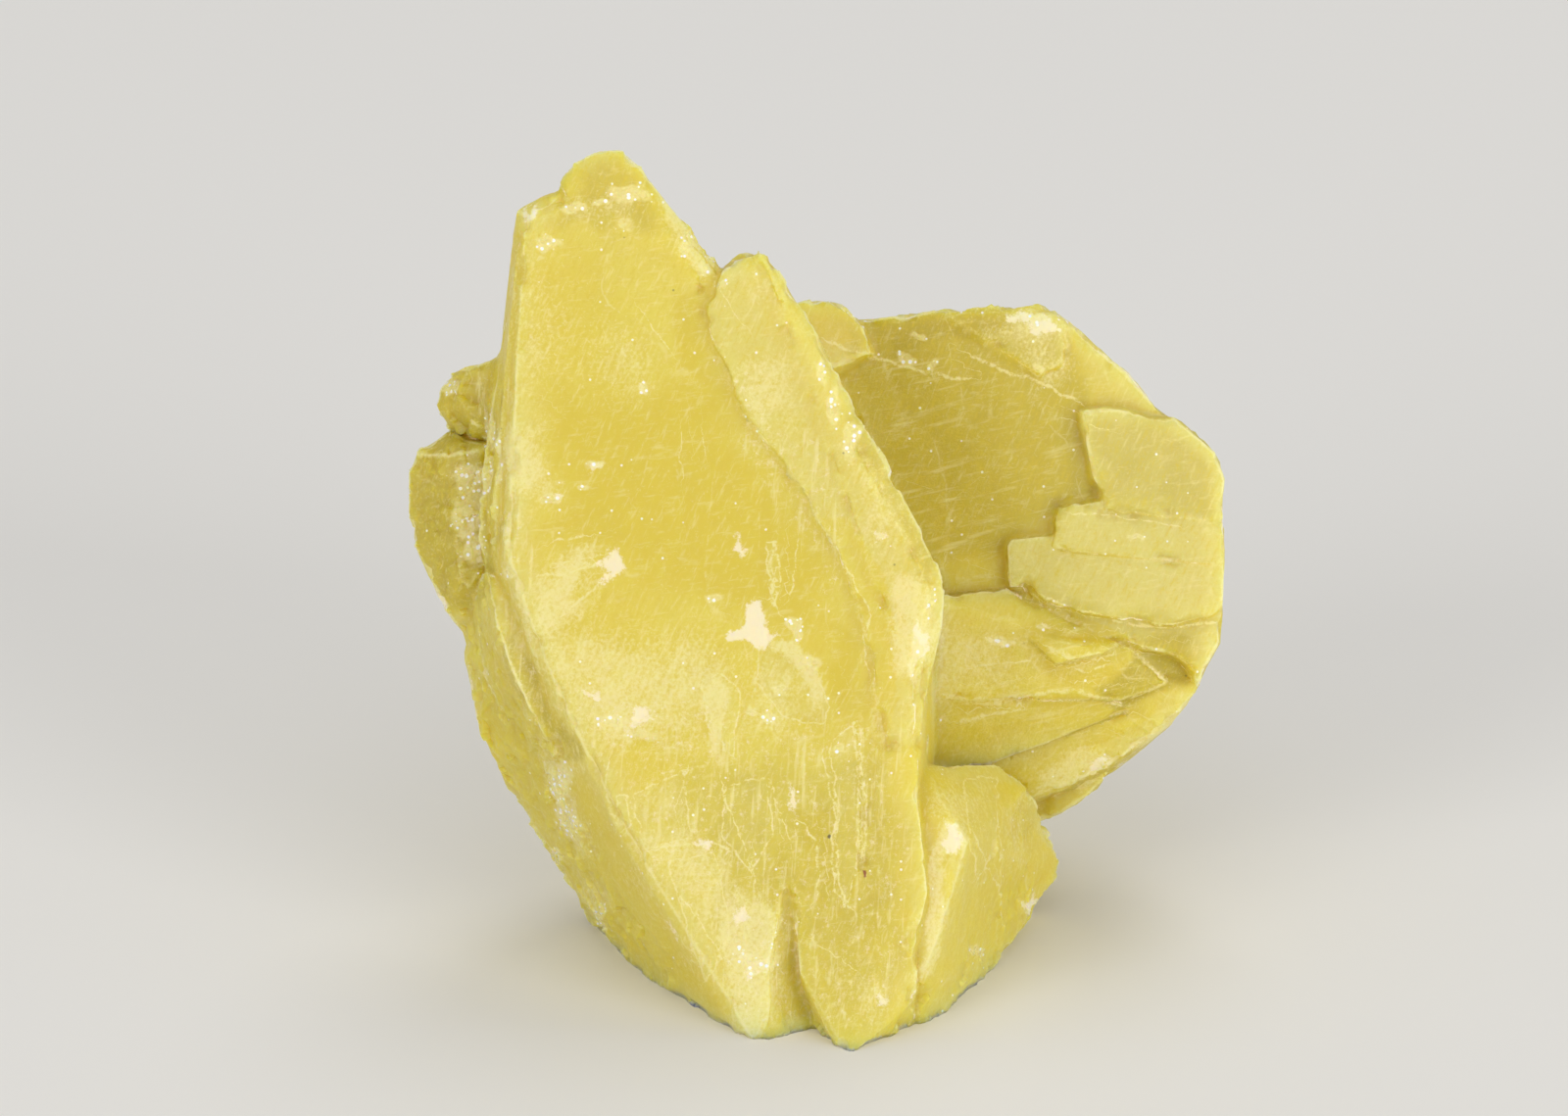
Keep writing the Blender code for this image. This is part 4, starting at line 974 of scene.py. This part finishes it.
def sulfurMaterial():
    # Native sulfur, a soft crystal with a resinous lustre, as it grew, was bruised and broke.
    # Light soaks in a millimetre or two, so it looks milky, and scratches show paler.
    material = bpy.data.materials.new("nativeSulfurGrownAndBroken")
    material.use_nodes = True
    tree = material.node_tree
    tree.nodes.clear()
    look = sulfurLook
    marks = {name: addNode(tree, "Attribute", give="Fac", attribute_name=name) for name in paint}
    place = addNode(tree, "TexCoord", give="Object")
    where = addNode(tree, "Mapping", {"Vector": place, "Scale": (1 / mm, 1 / mm, 1 / mm),
                                      "Rotation": (lean, 0, 0)})
    stretched = {None: where}
    for name, (turn, scale) in look["stretches"].items():
        turned = addNode(tree, "Mapping", {"Vector": where, "Rotation": (0, math.radians(turn), 0)})
        stretched[name] = addNode(tree, "Mapping", {"Vector": turned, "Scale": scale})
    patterns = {name: addNode(tree, "TexNoise", {
        "Vector": stretched[stretch], "Scale": scale, "Detail": detail, "Roughness": roughness})
        for name, (stretch, scale, detail, roughness) in look["clouds"].items()}

    # striae are the crests of the stretched patterns, and a growth layer's edge is a thin line
    for name, value in (("acrossLines", patterns["across"]), ("alongLines", patterns["along"])):
        patterns[name] = addNode(tree, "MapRange", {"Value": value, "From Min": 0.52,
                                                    "From Max": 0.72})
    breaks = addNode(tree, "MapRange", {"Value": patterns["mottle"], "From Min": 0.40,
                                        "From Max": 0.60}, interpolation_type="SMOOTHSTEP")
    wrapped = addNode(tree, "Math", {0: marks["layers"], 1: 1.0, 2: 0.0}, operation="WRAP")
    away = addNode(tree, "Math", {0: wrapped, 1: 0.06}, operation="SUBTRACT")
    away = addNode(tree, "Math", {0: away}, operation="ABSOLUTE")
    line = addNode(tree, "MapRange", {"Value": away, "From Min": 0.07, "From Max": 0.0})
    patterns["layerLines"] = addNode(tree, "Math", {0: line, 1: breaks}, operation="MULTIPLY")
    wobble = addNode(tree, "Math", {0: patterns["speckle"], 1: 0.16, 2: -0.08},
                     operation="MULTIPLY_ADD")
    away = addNode(tree, "Math", {0: marks["thread"], 1: wobble}, operation="ADD")
    away = addNode(tree, "Math", {0: away}, operation="ABSOLUTE")
    line = addNode(tree, "MapRange", {"Value": away, "From Min": marks["threadWidth"],
                                      "From Max": 0.0})
    faint = addNode(tree, "MapRange", {"Value": patterns["powder"], "From Min": 0.38,
                                       "From Max": 0.55}, interpolation_type="SMOOTHSTEP")
    patterns["threads"] = addNode(tree, "Math", {0: line, 1: faint}, operation="MULTIPLY")

    for name, (scale, share, radius) in look["dots"].items():
        cells = addNode(tree, "TexVoronoi", {"Vector": where, "Scale": scale}, give=None)
        pick = addNode(tree, "SeparateColor", {"Color": cells.outputs["Color"]})
        chosen = addNode(tree, "Math", {0: pick, 1: share}, operation="LESS_THAN")
        dot = addNode(tree, "MapRange", {"Value": cells.outputs["Distance"], "From Min": radius,
                                         "From Max": radius * 0.5})
        patterns[name] = addNode(tree, "Math", {0: dot, 1: chosen}, operation="MULTIPLY")

    colour = linearColour(look["colours"]["milky"])
    shares = {}
    for tint, mark, pattern, added, start, full, most in look["washes"]:
        total = addNode(tree, "Math", {0: patterns[pattern], 1: added, 2: marks.get(mark, 0.0)},
                        operation="MULTIPLY_ADD")
        share = addNode(tree, "MapRange", {"Value": total, "From Min": start, "From Max": full,
                                           "To Max": most}, interpolation_type="SMOOTHSTEP")
        colour = addNode(tree, "Mix", {0: share, 6: colour, 7: linearColour(look["colours"][tint])},
                         give=2, data_type="RGBA")
        shares[pattern] = share

    rough = look["roughness"] - look["roughnessDrift"] / 2
    for value, change in ((patterns["mottle"], "roughnessDrift"), (shares["powder"], "powderDulls"),
                          (marks["crust"], "crustShines")):
        rough = addNode(tree, "Math", {0: value, 1: look[change], 2: rough},
                        operation="MULTIPLY_ADD")
    height = patterns["mottle"]
    for name, share in look["relief"].items():
        value = shares[name] if name.endswith("Lines") else patterns[name]
        height = addNode(tree, "Math", {0: value, 1: share, 2: height}, operation="MULTIPLY_ADD")
    bump = addNode(tree, "Bump", {"Height": height, "Strength": look["bumpStrength"],
                                  "Distance": look["bumpHeight"] * mm})
    shader = addNode(tree, "BsdfPrincipled", {
        "Base Color": colour, "Roughness": rough, "IOR": look["ior"], "Normal": bump,
        "Specular IOR Level": look["gloss"],
        "Subsurface Weight": look["scatter"], "Subsurface Radius": look["scatterShares"],
        "Subsurface Scale": look["scatterDepth"] * mm,
    })
    addNode(tree, "OutputMaterial", {"Surface": shader}, give=None)
    return material


print("finishing the crystal")
crystal.data.materials.append(sulfurMaterial())
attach(crystal, "root")
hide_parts("sulfur_crystal")

studio = {
    "floor": "#EDEBE7",
    "floorSize": 6.0,         # m
    "worldStrength": 0.48,
    "lights": {               # place in m, size in m, watts
        "left": ((-0.52, -0.60, 0.34), 0.46, 2.2),
        "right": ((0.56, -0.60, 0.22), 0.46, 3.0),
        "front": ((0.05, -0.60, 0.78), 0.40, 0.4),
        "topBack": ((0.10, 0.40, 0.66), 0.40, 1.0),
    },
}

camera = {
    "distance": 0.9,          # m, long enough that the view is nearly parallel
    "widthSeen": 0.080,       # m across the picture at the crystal
    "target": (-1.7, 6.0, 24.975),  # u, w, v at the middle of the picture, mm
    "sensor": 36.0,           # mm
}


def makeFloor():
    bm = bmesh.new()
    bmesh.ops.create_grid(bm, x_segments=8, y_segments=8, size=studio["floorSize"] / 2)
    mesh = bpy.data.meshes.new("studioFloor")
    bm.to_mesh(mesh)
    bm.free()
    floor = bpy.data.objects.new("studioFloor", mesh)
    bpy.context.scene.collection.objects.link(floor)
    material = bpy.data.materials.new("paintedBoard")
    material.use_nodes = True
    shader = material.node_tree.nodes["Principled BSDF"]
    shader.inputs["Base Color"].default_value = linearColour(studio["floor"])
    shader.inputs["Roughness"].default_value = 0.7
    mesh.materials.append(material)


def makeLights():
    world = bpy.data.worlds.new("studioWorld")
    world.use_nodes = True
    background = world.node_tree.nodes["Background"]
    background.inputs["Color"].default_value = (1.0, 1.0, 1.0, 1.0)
    background.inputs["Strength"].default_value = studio["worldStrength"]
    bpy.context.scene.world = world
    for name, (place, size, watts) in studio["lights"].items():
        data = bpy.data.lights.new(name, "AREA")
        data.shape = "DISK"
        data.size = size
        data.energy = watts
        light = bpy.data.objects.new(name, data)
        bpy.context.scene.collection.objects.link(light)
        light.location = place
        aim = Vector((0, 0, 0.02)) - Vector(place)
        light.rotation_euler = aim.to_track_quat("-Z", "Y").to_euler()
        light.visible_camera = False


def makeCamera():
    data = bpy.data.cameras.new("camera")
    data.sensor_width = camera["sensor"]
    data.lens = camera["sensor"] * camera["distance"] / camera["widthSeen"]
    data.clip_start, data.clip_end = 0.01, 20.0
    view = bpy.data.objects.new("camera", data)
    bpy.context.scene.collection.objects.link(view)
    target = Vector(toWorld(np.array([camera["target"]]))[0])
    back = Vector((0, -leanCos, leanSin))
    view.location = target + back * camera["distance"]
    view.rotation_euler = (-back).to_track_quat("-Z", "Y").to_euler()
    bpy.context.scene.camera = view


print("setting the studio")
makeFloor()
makeLights()
makeCamera()
bpy.context.scene.view_settings.view_transform = "Standard"
